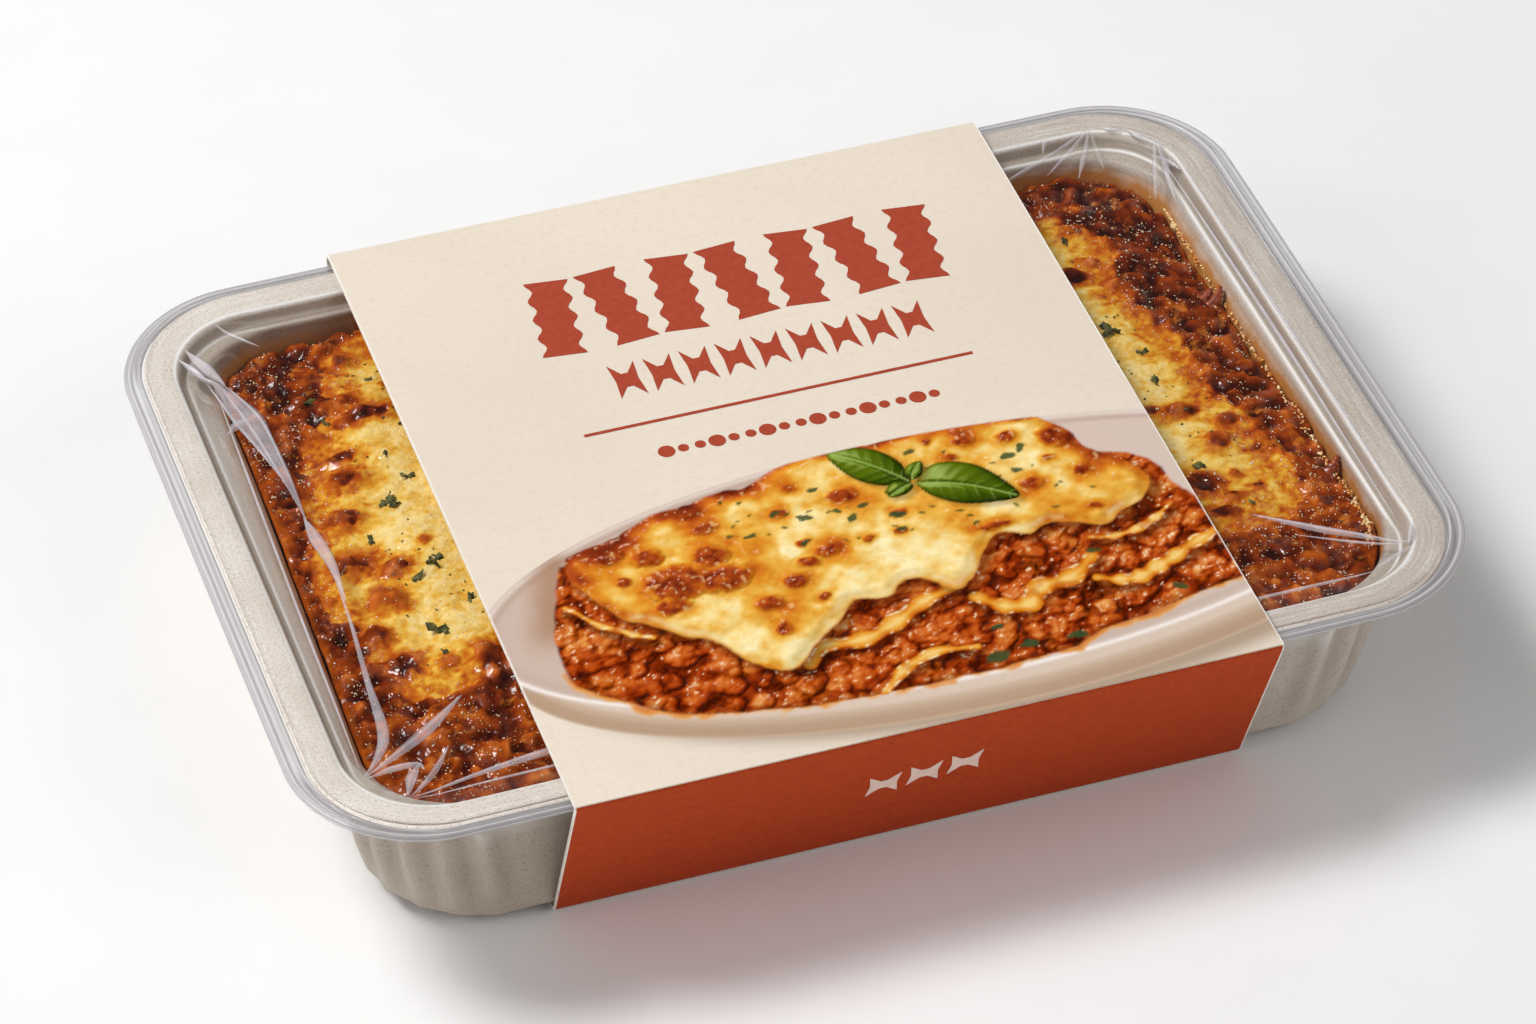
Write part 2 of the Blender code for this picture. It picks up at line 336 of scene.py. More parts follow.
arm = np.column_stack((np.sign(spots[:, 0]) * past_x, np.sign(spots[:, 1]) * past_y))
arm /= np.maximum(np.linalg.norm(arm, axis=1), 1e-9)[:, None]
spots[:, :2] += arm * (0.7 * MM * flute * upright)[:, None]
# The flute valleys are stored for painted shade in the finish.
set_values(tray, "valley_shade", (1 - flute) * upright)
below_ledge = smooth_step(27.5 * MM, 24.6 * MM, spots[:, 2]) * smooth_step(6 * MM, 12 * MM, spots[:, 2])
spots[:, 0] += wall_lean(spots[:, 0], spots[:, 1]) * below_ledge * (inner_face > 0.3)
move_to(tray, spots)
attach(tray, "root")
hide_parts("tray")

# %% Tray finish
material, tree, shader = new_finish("moulded_board", Roughness=0.5, Specular_IOR_Level=0.45)
coordinates = add_node(tree, "TexCoord").outputs["Object"]
height = add_node(tree, "SeparateXYZ", {0: coordinates}).outputs["Z"]
lane = add_node(tree, "Attribute", attribute_name="lane").outputs["Fac"]
inside = add_node(tree, "Attribute", attribute_name="inside").outputs["Fac"]
cloud = noise(tree, 90.0, 4.0, 0.6)
base = ramp(tree, cloud, [(0.3, paint(226, 214, 202)), (0.7, paint(240, 231, 221))])
pearl = streaks(tree, 13.0, 0.5, 5.0, 0.6)
on_top = maths(tree, "GREATER_THAN", height, 0.0291)
# White streaks along the flange top are painted sheen, the film's gloss streaks, stronger towards the right; the darker
# streaks follow the same noise.
sheen_streak = ramp(tree, pearl, [(0.52, (0, 0, 0, 1)), (0.68, (0.6,) * 3 + (1,))])
dark_streak = ramp(tree, pearl, [(0.3, (0.3,) * 3 + (1,)), (0.45, (0, 0, 0, 1))])
aside = add_node(tree, "SeparateXYZ", {0: coordinates}).outputs["X"]
grade = add_node(tree, "MapRange", {"Value": aside, "From Min": -0.05, "From Max": 0.07}).outputs[0]
stronger = maths(tree, "MULTIPLY", on_top, maths(tree, "ADD", maths(tree, "MULTIPLY", grade, 1.5), 0.75))
sheen_streak = maths(tree, "MULTIPLY", sheen_streak, stronger, clamp=True)
dark_streak = maths(tree, "MULTIPLY", dark_streak, stronger, clamp=True)
base = mix_colour(tree, sheen_streak, base, paint(250, 247, 242))
base = mix_colour(tree, dark_streak, base, paint(190, 176, 160))
stripe = streaks(tree, 60.0, 0.42, 3.0, 0.6, 4.0)
stripe_mask = maths(tree, "MULTIPLY", inside, maths(tree, "LESS_THAN", height, 0.0292))
# Lines on the inner wall below the flange: painted highlights and painted shade of the ledges seen through the film.
wall_light_and_shade = [(0.3, paint(142, 128, 112)), (0.45, paint(196, 184, 170)), (0.6, paint(214, 204, 192)), (0.7, paint(250, 247, 243))]
base = mix_colour(tree, maths(tree, "MULTIPLY", stripe_mask, 0.75), base, ramp(tree, stripe, wall_light_and_shade))
# Two thin white lines, at the flange's inner edge and at the ledge's edge: painted highlights.
EDGE_HIGHLIGHTS = [
    (0.425, (0, 0, 0, 1)),
    (0.455, (1,) * 4),
    (0.49, (0, 0, 0, 1)),
    (0.605, (0, 0, 0, 1)),
    (0.64, (1,) * 4),
    (0.675, (0, 0, 0, 1)),
]
# Short white specks near the flange's outer edge: painted glints.
flange_glints = streaks(tree, 1.6, 0.34, 2.0, 0.5, 9.0)
flange_glints = ramp(tree, flange_glints, [(0.56, (0, 0, 0, 1)), (0.66, (0.8,) * 3 + (1,))])
outer_strip = ramp(tree, maths(tree, "MULTIPLY", lane, 0.2), [(0.03, (0, 0, 0, 1)), (0.08, (1,) * 4), (0.3, (0.6,) * 3 + (1,)), (0.42, (0.12,) * 3 + (1,))])
flange_glints = maths(tree, "MULTIPLY", maths(tree, "MULTIPLY", flange_glints, outer_strip), on_top)
base = mix_colour(tree, flange_glints, base, paint(255, 252, 248))
speck = noise(tree, 2600.0, 3.0, 0.7)
base = mix_colour(tree, ramp(tree, speck, [(0.52, (0, 0, 0, 1)), (0.72, (0.8,) * 3 + (1,))]), base, paint(168, 154, 136))
pale_speck = noise(tree, 2100.0, 1.0, 0.5)
base = mix_colour(tree, ramp(tree, pale_speck, [(0.66, (0, 0, 0, 1)), (0.74, (0.7, 0.7, 0.7, 1))]), base, paint(236, 230, 220))
# Painted shade: the outer wall is darker, most at the left; above 26 mm the finish is also darker towards the right.
body_shade = ramp(tree, grade, [(0.1, (0.55, 0.5, 0.44, 1.0)), (0.9, (0.7, 0.665, 0.62, 1.0))])
grade = maths(tree, "MULTIPLY", grade, maths(tree, "GREATER_THAN", height, 0.026))
base = mix_colour(tree, maths(tree, "MULTIPLY", grade, 0.9), base, mix_colour(tree, 1.0, base, (0.79, 0.76, 0.745, 1.0), "MULTIPLY"))
# A grey band between the two white lines: painted shade on the step.
between = ramp(tree, maths(tree, "MULTIPLY", lane, 0.1), [(0.46, (0, 0, 0, 1)), (0.5, (0.5,) * 3 + (1,)), (0.59, (0.5,) * 3 + (1,)), (0.62, (0, 0, 0, 1))])
base = mix_colour(tree, between, base, paint(172, 160, 146))
# The painted edge highlights go on here.
highlight_place = maths(tree, "ADD", maths(tree, "MULTIPLY", lane, 0.1), maths(tree, "MULTIPLY", stripe, 0.02))
base = mix_colour(tree, ramp(tree, highlight_place, EDGE_HIGHLIGHTS), base, paint(255, 254, 252))
# The painted shade of the outer wall goes on here.
outer = maths(tree, "LESS_THAN", height, 0.0288)
outer = maths(tree, "MULTIPLY", outer, maths(tree, "SUBTRACT", 1.0, inside))
base = mix_colour(tree, maths(tree, "MULTIPLY", outer, 0.85), base, mix_colour(tree, 1.0, base, body_shade, "MULTIPLY"))
# Low on the inner wall at the back left, a brown darkening: painted shade.
along = add_node(tree, "SeparateXYZ", {0: coordinates}).outputs["Y"]
back_left_shade = add_node(tree, "MapRange", {"Value": along, "From Min": 0.036, "From Max": 0.05}).outputs[0]
back_left_shade = maths(tree, "MULTIPLY", back_left_shade, maths(tree, "MULTIPLY", inside, maths(tree, "LESS_THAN", height, 0.0277)))
back_left_shade = maths(tree, "MULTIPLY", back_left_shade, maths(tree, "LESS_THAN", aside, 0.0))
base = mix_colour(tree, maths(tree, "MULTIPLY", back_left_shade, 0.8), base, mix_colour(tree, 1.0, base, (0.42, 0.33, 0.25, 1.0), "MULTIPLY"))
# Painted shade in the flute valleys.
valley_shade = add_node(tree, "Attribute", attribute_name="valley_shade").outputs["Fac"]
base = mix_colour(tree, valley_shade, base, mix_colour(tree, 1.0, base, (0.8, 0.785, 0.765, 1.0), "MULTIPLY"))
rise = add_node(tree, "MapRange", {"Value": height, "From Min": 0.0276, "From Max": 0.0243}).outputs[0]
smear = maths(tree, "MULTIPLY", rise, noise(tree, 160.0, 4.0, 0.7))
smear = maths(tree, "MULTIPLY", smear, inside)
more = add_node(tree, "MapRange", {"Value": aside, "From Min": -0.06, "From Max": 0.065, "To Min": 0.7, "To Max": 1.12})
smear = maths(tree, "MULTIPLY", smear, more.outputs[0])
stain = ramp(tree, smear, [(0.14, (0, 0, 0, 1)), (0.26, (0.35,) * 3 + (1,)), (0.46, (0.9,) * 3 + (1,))])
base = mix_colour(tree, stain, base, paint(190, 118, 12))
tree.links.new(base, shader.inputs["Base Color"])
grain = maths(tree, "ADD", noise(tree, 700.0, 4.0, 0.7), maths(tree, "MULTIPLY", cloud, 0.5))
grain = maths(tree, "ADD", grain, maths(tree, "MULTIPLY", pearl, 0.35))
bump(tree, shader, grain, 0.3, 0.0003)
tree.links.new(ramp(tree, cloud, [(0.3, (0.4,) * 3 + (1,)), (0.7, (0.52,) * 3 + (1,))]), shader.inputs["Roughness"])
tray.data.materials.append(material)
print("tray height in mm:", round((tray_high.z - tray_low.z) / MM, 1))

# %% [markdown]
# ## The clear rim
#
# A ridged lip of clear plastic stands out round the flange. It is the frame's solid again,
# smoothed. Clear plastic shows mostly what is behind it, so its finish lets most light
# straight through, tints it faintly blue-grey, and adds a sharp gloss. Across the lip its
# colour runs through painted white highlight lines and painted dark lines.

# %% Clear rim
rim = finer_copy("clear_rim", "ridged_clear_rim", 2)
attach(rim, "root")
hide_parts("clear_rim")


def clear_finish(name, tint, solid, body, roughness, gloss):
    """A clear plastic: see-through, with a share of solid colour and a sharp gloss."""
    material, tree, shader = new_finish(name, Roughness=roughness, Base_Color=body)
    through = add_node(tree, "BsdfTransparent", {"Color": tint})
    facing = add_node(tree, "LayerWeight", {"Blend": 0.35}).outputs["Facing"]
    share = maths(tree, "ADD", maths(tree, "MULTIPLY", facing, gloss), solid, clamp=True)
    blend = add_node(tree, "MixShader", {0: share, 1: through.outputs[0], 2: shader.outputs[0]})
    tree.links.new(blend.outputs[0], tree.nodes["Material Output"].inputs["Surface"])
    return material, tree, shader


material, tree, shader = clear_finish(
    "clear_plastic", (0.9, 0.9, 0.91, 1.0), 0.4, paint(196, 194, 202), 0.14, 0.5
)
rim_low, rim_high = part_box("clear_rim")
set_lanes(rim, rim_high.x, rim_high.y, 19.8 * MM)
lines = streaks(tree, 50.0, 0.5, 3.0, 0.6)
lane = add_node(tree, "Attribute", attribute_name="lane").outputs["Fac"]
wavy = maths(tree, "ADD", maths(tree, "MULTIPLY", lane, 0.29), maths(tree, "MULTIPLY", lines, 0.12))
rim_height = add_node(tree, "SeparateXYZ", {0: add_node(tree, "TexCoord").outputs["Object"]}).outputs["Z"]
drop = add_node(tree, "MapRange", {"Value": rim_height, "From Min": rim_high.z, "From Max": rim_low.z}).outputs[0]
wavy = maths(tree, "ADD", wavy, maths(tree, "MULTIPLY", drop, 0.55))
# Painted highlights and painted dark lines across the lip, shifted with height.
LIP_HIGHLIGHTS_AND_DARK_LINES = [
    (0.05, paint(150, 146, 150)),
    (0.1, paint(196, 192, 195)),
    (0.17, paint(255, 255, 255)),
    (0.23, paint(206, 202, 205)),
    (0.4, paint(192, 187, 190)),
    (0.46, paint(250, 249, 250)),
    (0.53, paint(206, 202, 204)),
    (0.66, paint(168, 162, 165)),
    (0.74, paint(255, 254, 255)),
    (0.82, paint(212, 208, 209)),
    (1.0, paint(170, 165, 166)),
]
tree.links.new(ramp(tree, wavy, LIP_HIGHLIGHTS_AND_DARK_LINES), shader.inputs["Base Color"])
bump(tree, shader, lines, 0.3, 0.0004)
rim.data.materials.append(material)

# %% [markdown]
# ## Patterns for food
#
# Baked food is uneven at every size. Smooth noise makes the swells of melted cheese, and
# round lumps of many sizes make mince. Both are worked out on the vertices, so that the
# relief is real. Moving the points about by a little noise first takes away the regular look
# that a grid of lumps has.

# %% Pattern helpers


def scatter(column, row, seed):
    """A repeatable number from 0 to 1 for each cell of a grid."""
    mixed = column * 374761393 + row * 668265263 + seed * 1442695041
    mixed = (mixed ^ (mixed >> 13)) * 1274126177
    return ((mixed ^ (mixed >> 16)) & 0xFFFFFF) / float(0x1000000)


def swells(x, y, size, seed, octaves=1):
    """Smooth noise from about -1 to 1, with features of about this size."""
    total, weight = 0.0, 0.0
    for octave in range(octaves):
        u, v = x / size + 7.3 * octave, y / size - 4.1 * octave
        column, row = np.floor(u).astype(np.int64), np.floor(v).astype(np.int64)
        du, dv = u - column, v - row
        du, dv = du * du * (3 - 2 * du), dv * dv * (3 - 2 * dv)
        low = scatter(column, row, seed) * (1 - du) + scatter(column + 1, row, seed) * du
        high = scatter(column, row + 1, seed) * (1 - du) + scatter(column + 1, row + 1, seed) * du
        share = 0.55**octave
        total = total + share * (2 * (low * (1 - dv) + high * dv) - 1)
        weight += share
        size /= 2.1
        seed += 17
    return total / weight


def stir(x, y, size, reach, seed):
    """Moves points about by smooth noise."""
    return x + reach * swells(x, y, size, seed, 2), y + reach * swells(x, y, size, seed + 50, 2)


def lumps(x, y, size, seed):
    """Round lumps of about this size, each a dome of its own height from 0 to 1."""
    column, row = np.floor(x / size).astype(np.int64), np.floor(y / size).astype(np.int64)
    highest = np.zeros_like(x)
    for aside in (-1, 0, 1):
        for ahead in (-1, 0, 1):
            c, r = column + aside, row + ahead
            centre_x = (c + 0.1 + 0.8 * scatter(c, r, seed)) * size
            centre_y = (r + 0.1 + 0.8 * scatter(c, r, seed + 5)) * size
            reach = size * (0.4 + 0.45 * scatter(c, r, seed + 9))
            away = ((x - centre_x) ** 2 + (y - centre_y) ** 2) / reach**2
            dome = np.sqrt(np.clip(1 - away, 0, 1)) * (0.45 + 0.55 * scatter(c, r, seed + 13))
            highest = np.maximum(highest, dome)
    return highest


def edge_distance(x, y, half_x, half_y, radius):
    """How far a point lies inside a rounded rectangle."""
    out_x, out_y = np.abs(x) - (half_x - radius), np.abs(y) - (half_y - radius)
    outside = np.hypot(np.maximum(out_x, 0), np.maximum(out_y, 0))
    return radius - outside - np.minimum(np.maximum(out_x, out_y), 0)


def add_sheet(name, half_x, half_y, radius, columns, rows, height, dense_from):
    """A grid laid out as a rounded rectangle, with finer columns beyond dense_from."""
    bpy.ops.object.select_all(action="DESELECT")
    bpy.ops.mesh.primitive_grid_add(x_subdivisions=columns, y_subdivisions=rows, size=2.0)
    piece = bpy.context.object
    piece.name = name
    piece.data.name = name
    points = places(piece).astype(np.float64)
    across, along = points[:, 0], points[:, 1]
    share, knee = dense_from / half_x, 0.12
    size = np.abs(across)
    outer = share + (size - knee) / (1 - knee) * (1 - share)
    x = np.sign(across) * np.where(size < knee, size / knee * share, outer) * half_x
    y = along * half_y
    # Near its edge, the square grid is drawn in to the rounded corners.
    reach = np.maximum(np.abs(x) / half_x, np.abs(y) / half_y)
    flat_x, flat_y = x / np.maximum(reach, 1e-6), y / np.maximum(reach, 1e-6)
    past_x, past_y = np.abs(flat_x) - (half_x - radius), np.abs(flat_y) - (half_y - radius)
    corner = (past_x > 0) & (past_y > 0)
    length = np.maximum(np.hypot(past_x, past_y), 1e-9)
    round_x = np.sign(flat_x) * (half_x - radius + past_x / length * radius)
    round_y = np.sign(flat_y) * (half_y - radius + past_y / length * radius)
    blend = reach**6
    new_x = np.where(corner, x + (round_x - flat_x) * blend, x)
    new_y = np.where(corner, y + (round_y - flat_y) * blend, y)
    move_to(piece, np.column_stack((new_x, new_y, np.full_like(x, height))))
    return piece


def smooth_path(points, steps):
    """A smooth curve through points, as rows of numbers."""
    points = np.asarray(points, dtype=float)
    before = np.vstack((2 * points[0] - points[1], points))
    padded = np.vstack((before, 2 * points[-1] - points[-2]))
    found = []
    for start in range(len(points) - 1):
        a, b, c, d = padded[start : start + 4]
        for t in np.linspace(0, 1, steps, endpoint=False):
            found.append(
                0.5 * (2 * b + (c - a) * t + (2 * a - 5 * b + 4 * c - d) * t**2 + (3 * b - a - 3 * c + d) * t**3)
            )
    found.append(points[-1])
    return np.array(found)


def outline_distance(x, y, outline, steps=4):
    """How far each point lies inside a smooth closed outline, in the outline's own unit."""
    loop = np.asarray(outline, dtype=float)
    curve = smooth_path(np.vstack((loop, loop[:1])), steps)
    nearest = np.full(x.shape, 1e9)
    inside = np.zeros(x.shape, dtype=bool)
    for (x0, y0), (x1, y1) in zip(curve[:-1, :2], curve[1:, :2]):
        dx, dy = x1 - x0, y1 - y0
        share = np.clip(((x - x0) * dx + (y - y0) * dy) / max(dx * dx + dy * dy, 1e-12), 0, 1)
        nearest = np.minimum(nearest, (x - x0 - share * dx) ** 2 + (y - y0 - share * dy) ** 2)
        if dy != 0:
            inside ^= ((y0 <= y) != (y1 <= y)) & (x < x0 + (y - y0) * dx / dy)
    return np.sqrt(nearest) * np.where(inside, 1, -1)


print("a swell:", round(float(swells(np.array([0.01]), np.array([0.02]), 0.01, 1)[0]), 3))

# %% [markdown]
# ## The baked top
#
# Melted cheese covers the middle. Along the tray's edges the sauce and mince have broken
# through and browned to a dark crust, and smaller blisters stand on the cheese. The crust's
# edge is a smooth outline drawn in millimetres, and noise frays it. One value says
# how toasted each spot is, from 0 for pale cheese to 1 for dark crust, and the relief and the
# colour both follow it. Cheese rises in soft swells, and crust is lumpy and crumbly.

# %% Where the top is toasted
CRUST_OUTLINES = [
    [
        (-44, 51.5), (-49.5, 50.5), (-54.0, 46.6), (-57, 40), (-55.8, 33.5), (-61.2, 29.6), (-62.8, 24.0),
        (-65.6, 16.5), (-66.2, 9.5), (-68.6, 1.0), (-68.6, -7.5), (-65.4, -13.5), (-65.2, -20.0),
        (-62.4, -26.6), (-56.4, -28.2), (-50.4, -27.4), (-44, -30), (-44, -58), (-80, -58), (-80, 58), (-44, 58),
    ],
    [
        (46, 45.0), (53.8, 43.2), (58.4, 39.4), (61.6, 35.4), (60.8, 27.0), (60.2, 19.0), (63.6, 12.4), (63.4, 4.0),
        (63.8, -3.4), (66.0, -9.0), (66.2, -16.0), (67.6, -23.6), (66.0, -30.6), (59.5, -32.4), (54.0, -34.6),
        (46, -36), (46, -58), (80, -58), (80, 58), (46, 58),
    ],
]
BLISTERS = [
    (-52.5, 45.1, 1.7, 1.5, 0.72), (-52.4, 31.0, 4.6, 1.7, 0.76), (-55.0, 35.0, 2.4, 1.6, 0.7),
    (-59.5, 18.6, 3.0, 2.2, 0.72), (-58.6, 23.4, 2.4, 1.6, 0.66), (-61.6, 10.8, 2.7, 2.1, 0.78),
    (-57.9, -1.8, 2.2, 1.6, 0.8), (-60.5, -7.6, 2.1, 2.1, 0.84), (-63.4, 1.2, 3.0, 2.2, 0.7),
    (-62.4, -21.2, 2.4, 2.1, 0.88), (-52.5, 1.8, 0.8, 0.7, 0.62), (-50.8, -24.6, 2.6, 2.6, 0.8),
    (-57.0, -23.4, 2.0, 1.4, 0.6), (-64.6, -14.4, 2.6, 2.0, 0.8), (-48.5, 37.0, 1.2, 0.8, 0.5),
    (54.7, 27.3, 2.5, 1.5, 0.9), (58.4, 30.5, 2.0, 1.2, 0.66), (57.9, -6.0, 2.9, 1.5, 0.76),
    (54.0, -5.4, 1.6, 1.0, 0.74), (60.8, -14.0, 2.3, 2.0, 0.68), (63.6, -10.4, 2.0, 1.8, 0.74),
    (54.4, -22.4, 2.8, 2.3, 0.86), (58.6, -26.4, 2.0, 1.4, 0.66), (62.4, -24.6, 0.9, 0.8, 0.8),
    (60.4, -21.4, 1.0, 0.8, 0.62), (62.0, 17.6, 2.2, 1.8, 0.66), (55.0, -29.6, 2.4, 1.6, 0.78),
]


def blister_dome(x, y):
    """How toasted the blisters make each spot, and how high their domes stand there."""
    u, v = stir(x / MM, y / MM, 1.6, 0.5, 811)
    shade, dome = np.zeros_like(x), np.zeros_like(x)
    for centre_x, centre_y, reach_x, reach_y, strength in BLISTERS:
        away = np.hypot((u - centre_x) / reach_x, (v - centre_y) / reach_y)
        core = 0.95 * strength * (1 - smooth_step(0.5, 1.5, away))
        shade = np.maximum(shade, np.maximum(core, 0.6 * strength * (1 - smooth_step(0.8, 2.7, away))))
        dome = np.maximum(dome, np.sqrt(np.clip(1 - (away / 1.25) ** 2, 0, 1)) * min(reach_x, reach_y))
    return shade, dome


def crust_reach(x, y):
    """How far each spot lies inside the crust, in millimetres, with a frayed edge."""
    u, v = stir(x / MM, y / MM, 4.5, 1.3, 801)
    found = np.full_like(x, -1e3)
    for outline in CRUST_OUTLINES:
        found = np.maximum(found, outline_distance(u, v, outline, 4))
    found = found + 0.9 * swells(x, y, 2.2 * MM, 805, 2) + 0.35 * swells(x, y, 0.9 * MM, 807)
    covered = smooth_step(47.5 * MM, 45.5 * MM, np.abs(x)) * smooth_step(10 * MM, 3 * MM, 52 * MM - np.abs(y))
    return np.where(np.abs(x) < 47 * MM, 3 * covered - 2, found)


food_low, food_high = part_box("lasagne")
food_half_x, food_half_y = food_high.x, food_high.y
FOOD_RADIUS = 16.3 * MM
CRUST_EDGE = 24.4 * MM
FOOD_COLUMNS, FOOD_ROWS = 224, 372
food = add_sheet("baked_pasta", food_half_x, food_half_y, FOOD_RADIUS, FOOD_COLUMNS, FOOD_ROWS, CRUST_EDGE, 0.0485)
points = places(food).astype(np.float64)
x, y = points[:, 0], points[:, 1]
from_wall = edge_distance(x, y, food_half_x, food_half_y, FOOD_RADIUS)
x = x + wall_lean(x, y)
inside_crust = crust_reach(x, y)
blistered, dome = blister_dome(x, y)
depth_of_crust = smooth_step(-1.6, 1.8, inside_crust)
patchy = 0.14 * swells(x, y, 6 * MM, 3, 2)
toasted = depth_of_crust * (0.84 + patchy)
toasted -= 0.16 * smooth_step(-66, -71, x / MM) * smooth_step(-22, 12, y / MM) * (y < 14 * MM)
golden = 0.44 * smooth_step(-8.5, 0.3, inside_crust + 2.0 * swells(x, y, 5 * MM, 15, 2))
toasted = np.maximum(toasted, blistered)
rim_toast = 0.8 * (1 - smooth_step(0.6 * MM, 2.6 * MM, from_wall + 1.0 * MM * swells(x, y, 5 * MM, 3, 3)))
toasted = np.maximum(toasted, rim_toast)
mottle = 0.15 * swells(x, y, 4 * MM, 5, 2) + 0.15 * swells(x, y, 1.5 * MM, 9, 2)
mottle += 0.12 * swells(x, y, 0.7 * MM, 12, 1)
toast = np.maximum(toasted, golden) + mottle * (0.75 + 0.4 * golden) + 0.12
toast = np.clip(toast, 0, 1)
crust = smooth_step(0.52, 0.74, toast)
print("share of crust:", round(float(crust.mean()), 2))

# %% The baked top's relief


def soften(values, times):
    """Rounds off a value's sharp creases, along both ways of the sheet's grid."""
    field = values.reshape(FOOD_ROWS + 1, FOOD_COLUMNS + 1)
    for _ in range(times):
        field = np.pad(field, 1, mode="edge")
        field = (field[:-2] + 2 * field[1:-1] + field[2:])[:, 1:-1] / 4
        field = np.pad(field, 1, mode="edge")
        field = (field[:, :-2] + 2 * field[:, 1:-1] + field[:, 2:])[1:-1] / 4
    return field.ravel()


u, v = stir(x, y, 2.4 * MM, 1.4 * MM, 31)
big = lumps(u, v, 3.3 * MM, 51)
middle = lumps(u, v, 1.7 * MM, 61)
small = lumps(u, v, 0.95 * MM, 71)
shreds = 1 - np.abs(swells(u, v * 0.55, 1.3 * MM, 77, 2))
rough = swells(x, y, 1.1 * MM, 79, 3)
mince = MM * (1.35 * big + 0.75 * middle + 0.15 * small + 0.5 * shreds + 0.25 * rough - 1.35)
bubbles = lumps(x, y, 2.2 * MM, 44) * smooth_step(0.1, 0.5, swells(x, y, 5 * MM, 46, 2))
threads = 1 - np.abs(swells(u * 0.8, v, 1.5 * MM, 81, 3))
fine_threads = 1 - np.abs(swells(v, u * 0.7, 0.8 * MM, 87, 2))
melted = MM * (0.4 * swells(x, y, 5 * MM, 41, 2) + 0.25 * bubbles + 0.4 * threads + 0.16 * fine_threads - 0.4)
raised = 0.4 * MM * smooth_step(0.4, 0.75, toasted) * (1 - smooth_step(0.75, 0.95, toasted))
raised = raised + 0.3 * MM * dome * (1 - 0.6 * depth_of_crust)
swell = 0.8 * MM * swells(x, y, 13 * MM, 91, 2)
crown = 1.3 * MM * smooth_step(0, 26 * MM, from_wall)
edge_drop = -0.9 * MM * np.exp(-from_wall / (0.7 * MM))
z = CRUST_EDGE + edge_drop + crown + swell + melted * (1 - crust) + mince * crust + raised
z = np.minimum(soften(z, 3), 28.6 * MM)
move_to(food, np.column_stack((x, y, z)))
set_values(food, "toast", toast)
set_values(food, "crust", crust)
# How light the crust is painted: lighter on lump tops and darker in the hollows, painted light and shade, and lighter
# towards the front.
relief = 0.46 * big + 0.4 * middle + 0.14 * small + 0.3 * shreds + 0.14 * rough - 0.22
relief = relief + 0.12 * smooth_step(-20 * MM, -36 * MM, y)
relief = 0.44 + 1.3 * (relief - 0.5) + 0.1 * swells(x, y, 4 * MM, 97, 2)
set_values(food, "lump_shade", soften(np.clip(relief, 0, 1), 3))
set_values(food, "thread", np.clip(0.6 * threads + 0.5 * fine_threads - 0.35, 0, 1))
set_values(food, "wall", np.clip(1 - from_wall / (1.8 * MM), 0, 1))

only(food)
bpy.ops.object.mode_set(mode="EDIT")
bpy.ops.mesh.select_all(action="DESELECT")
bpy.ops.mesh.select_mode(type="EDGE")
bpy.ops.mesh.select_non_manifold()
for drop, shrink in ((-4.0, 0.99), (-15.0, 0.955), (-2.0, 0.93)):
    bpy.ops.mesh.extrude_region_move(TRANSFORM_OT_translate={"value": (0, 0, drop * MM)})
    bpy.ops.transform.resize(value=(shrink, shrink, 1))
bpy.ops.transform.resize(value=(1, 1, 0))
bpy.ops.mesh.edge_face_add()
bpy.ops.mesh.select_all(action="SELECT")
bpy.ops.mesh.normals_make_consistent(inside=False)
bpy.ops.object.mode_set(mode="OBJECT")
bpy.ops.object.shade_smooth()
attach(food, "root")
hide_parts("lasagne")
print("baked top faces:", len(food.data.polygons), "highest mm:", round(float(z.max()) / MM, 2))

# %% The baked top's finish
CHEESE_STOPS = [
    (0.0, paint(252, 222, 146)),
    (0.16, paint(244, 200, 98)),
    (0.3, paint(232, 172, 58)),
    (0.42, paint(214, 134, 34)),
    (0.54, paint(196, 98, 20)),
    (0.68, paint(170, 68, 16)),
    (0.84, paint(132, 44, 12)),
    (1.0, paint(88, 28, 8)),
]
CRUST_STOPS = [
    (0.0, paint(52, 11, 3)),
    (0.25, paint(96, 31, 6)),
    (0.5, paint(146, 58, 10)),
    (0.75, paint(184, 88, 22)),
    (1.0, paint(228, 134, 60)),
]
material, tree, shader = new_finish(
    "baked_cheese", Roughness=0.4, Specular_IOR_Level=0.0, Coat_Weight=0.5, Coat_Roughness=0.05
)


def own_value(name):
    """One of the piece's own values, for its finish."""
    return add_node(tree, "Attribute", attribute_name=name).outputs["Fac"]


fine = maths(tree, "SUBTRACT", noise(tree, 900.0, 4.0, 0.65), 0.5)
broad = maths(tree, "SUBTRACT", noise(tree, 230.0, 3.0, 0.6), 0.5)
level = maths(tree, "ADD", own_value("toast"), maths(tree, "MULTIPLY", fine, 0.3))
level = maths(tree, "ADD", level, maths(tree, "MULTIPLY", broad, 0.24))
# The cheese is paler along its strands: partly the strands' own colour, partly a painted sparkle.
pale = maths(tree, "MULTIPLY", maths(tree, "SUBTRACT", own_value("thread"), 0.4), 0.35)
cheese_colour = ramp(tree, maths(tree, "SUBTRACT", level, pale), CHEESE_STOPS)
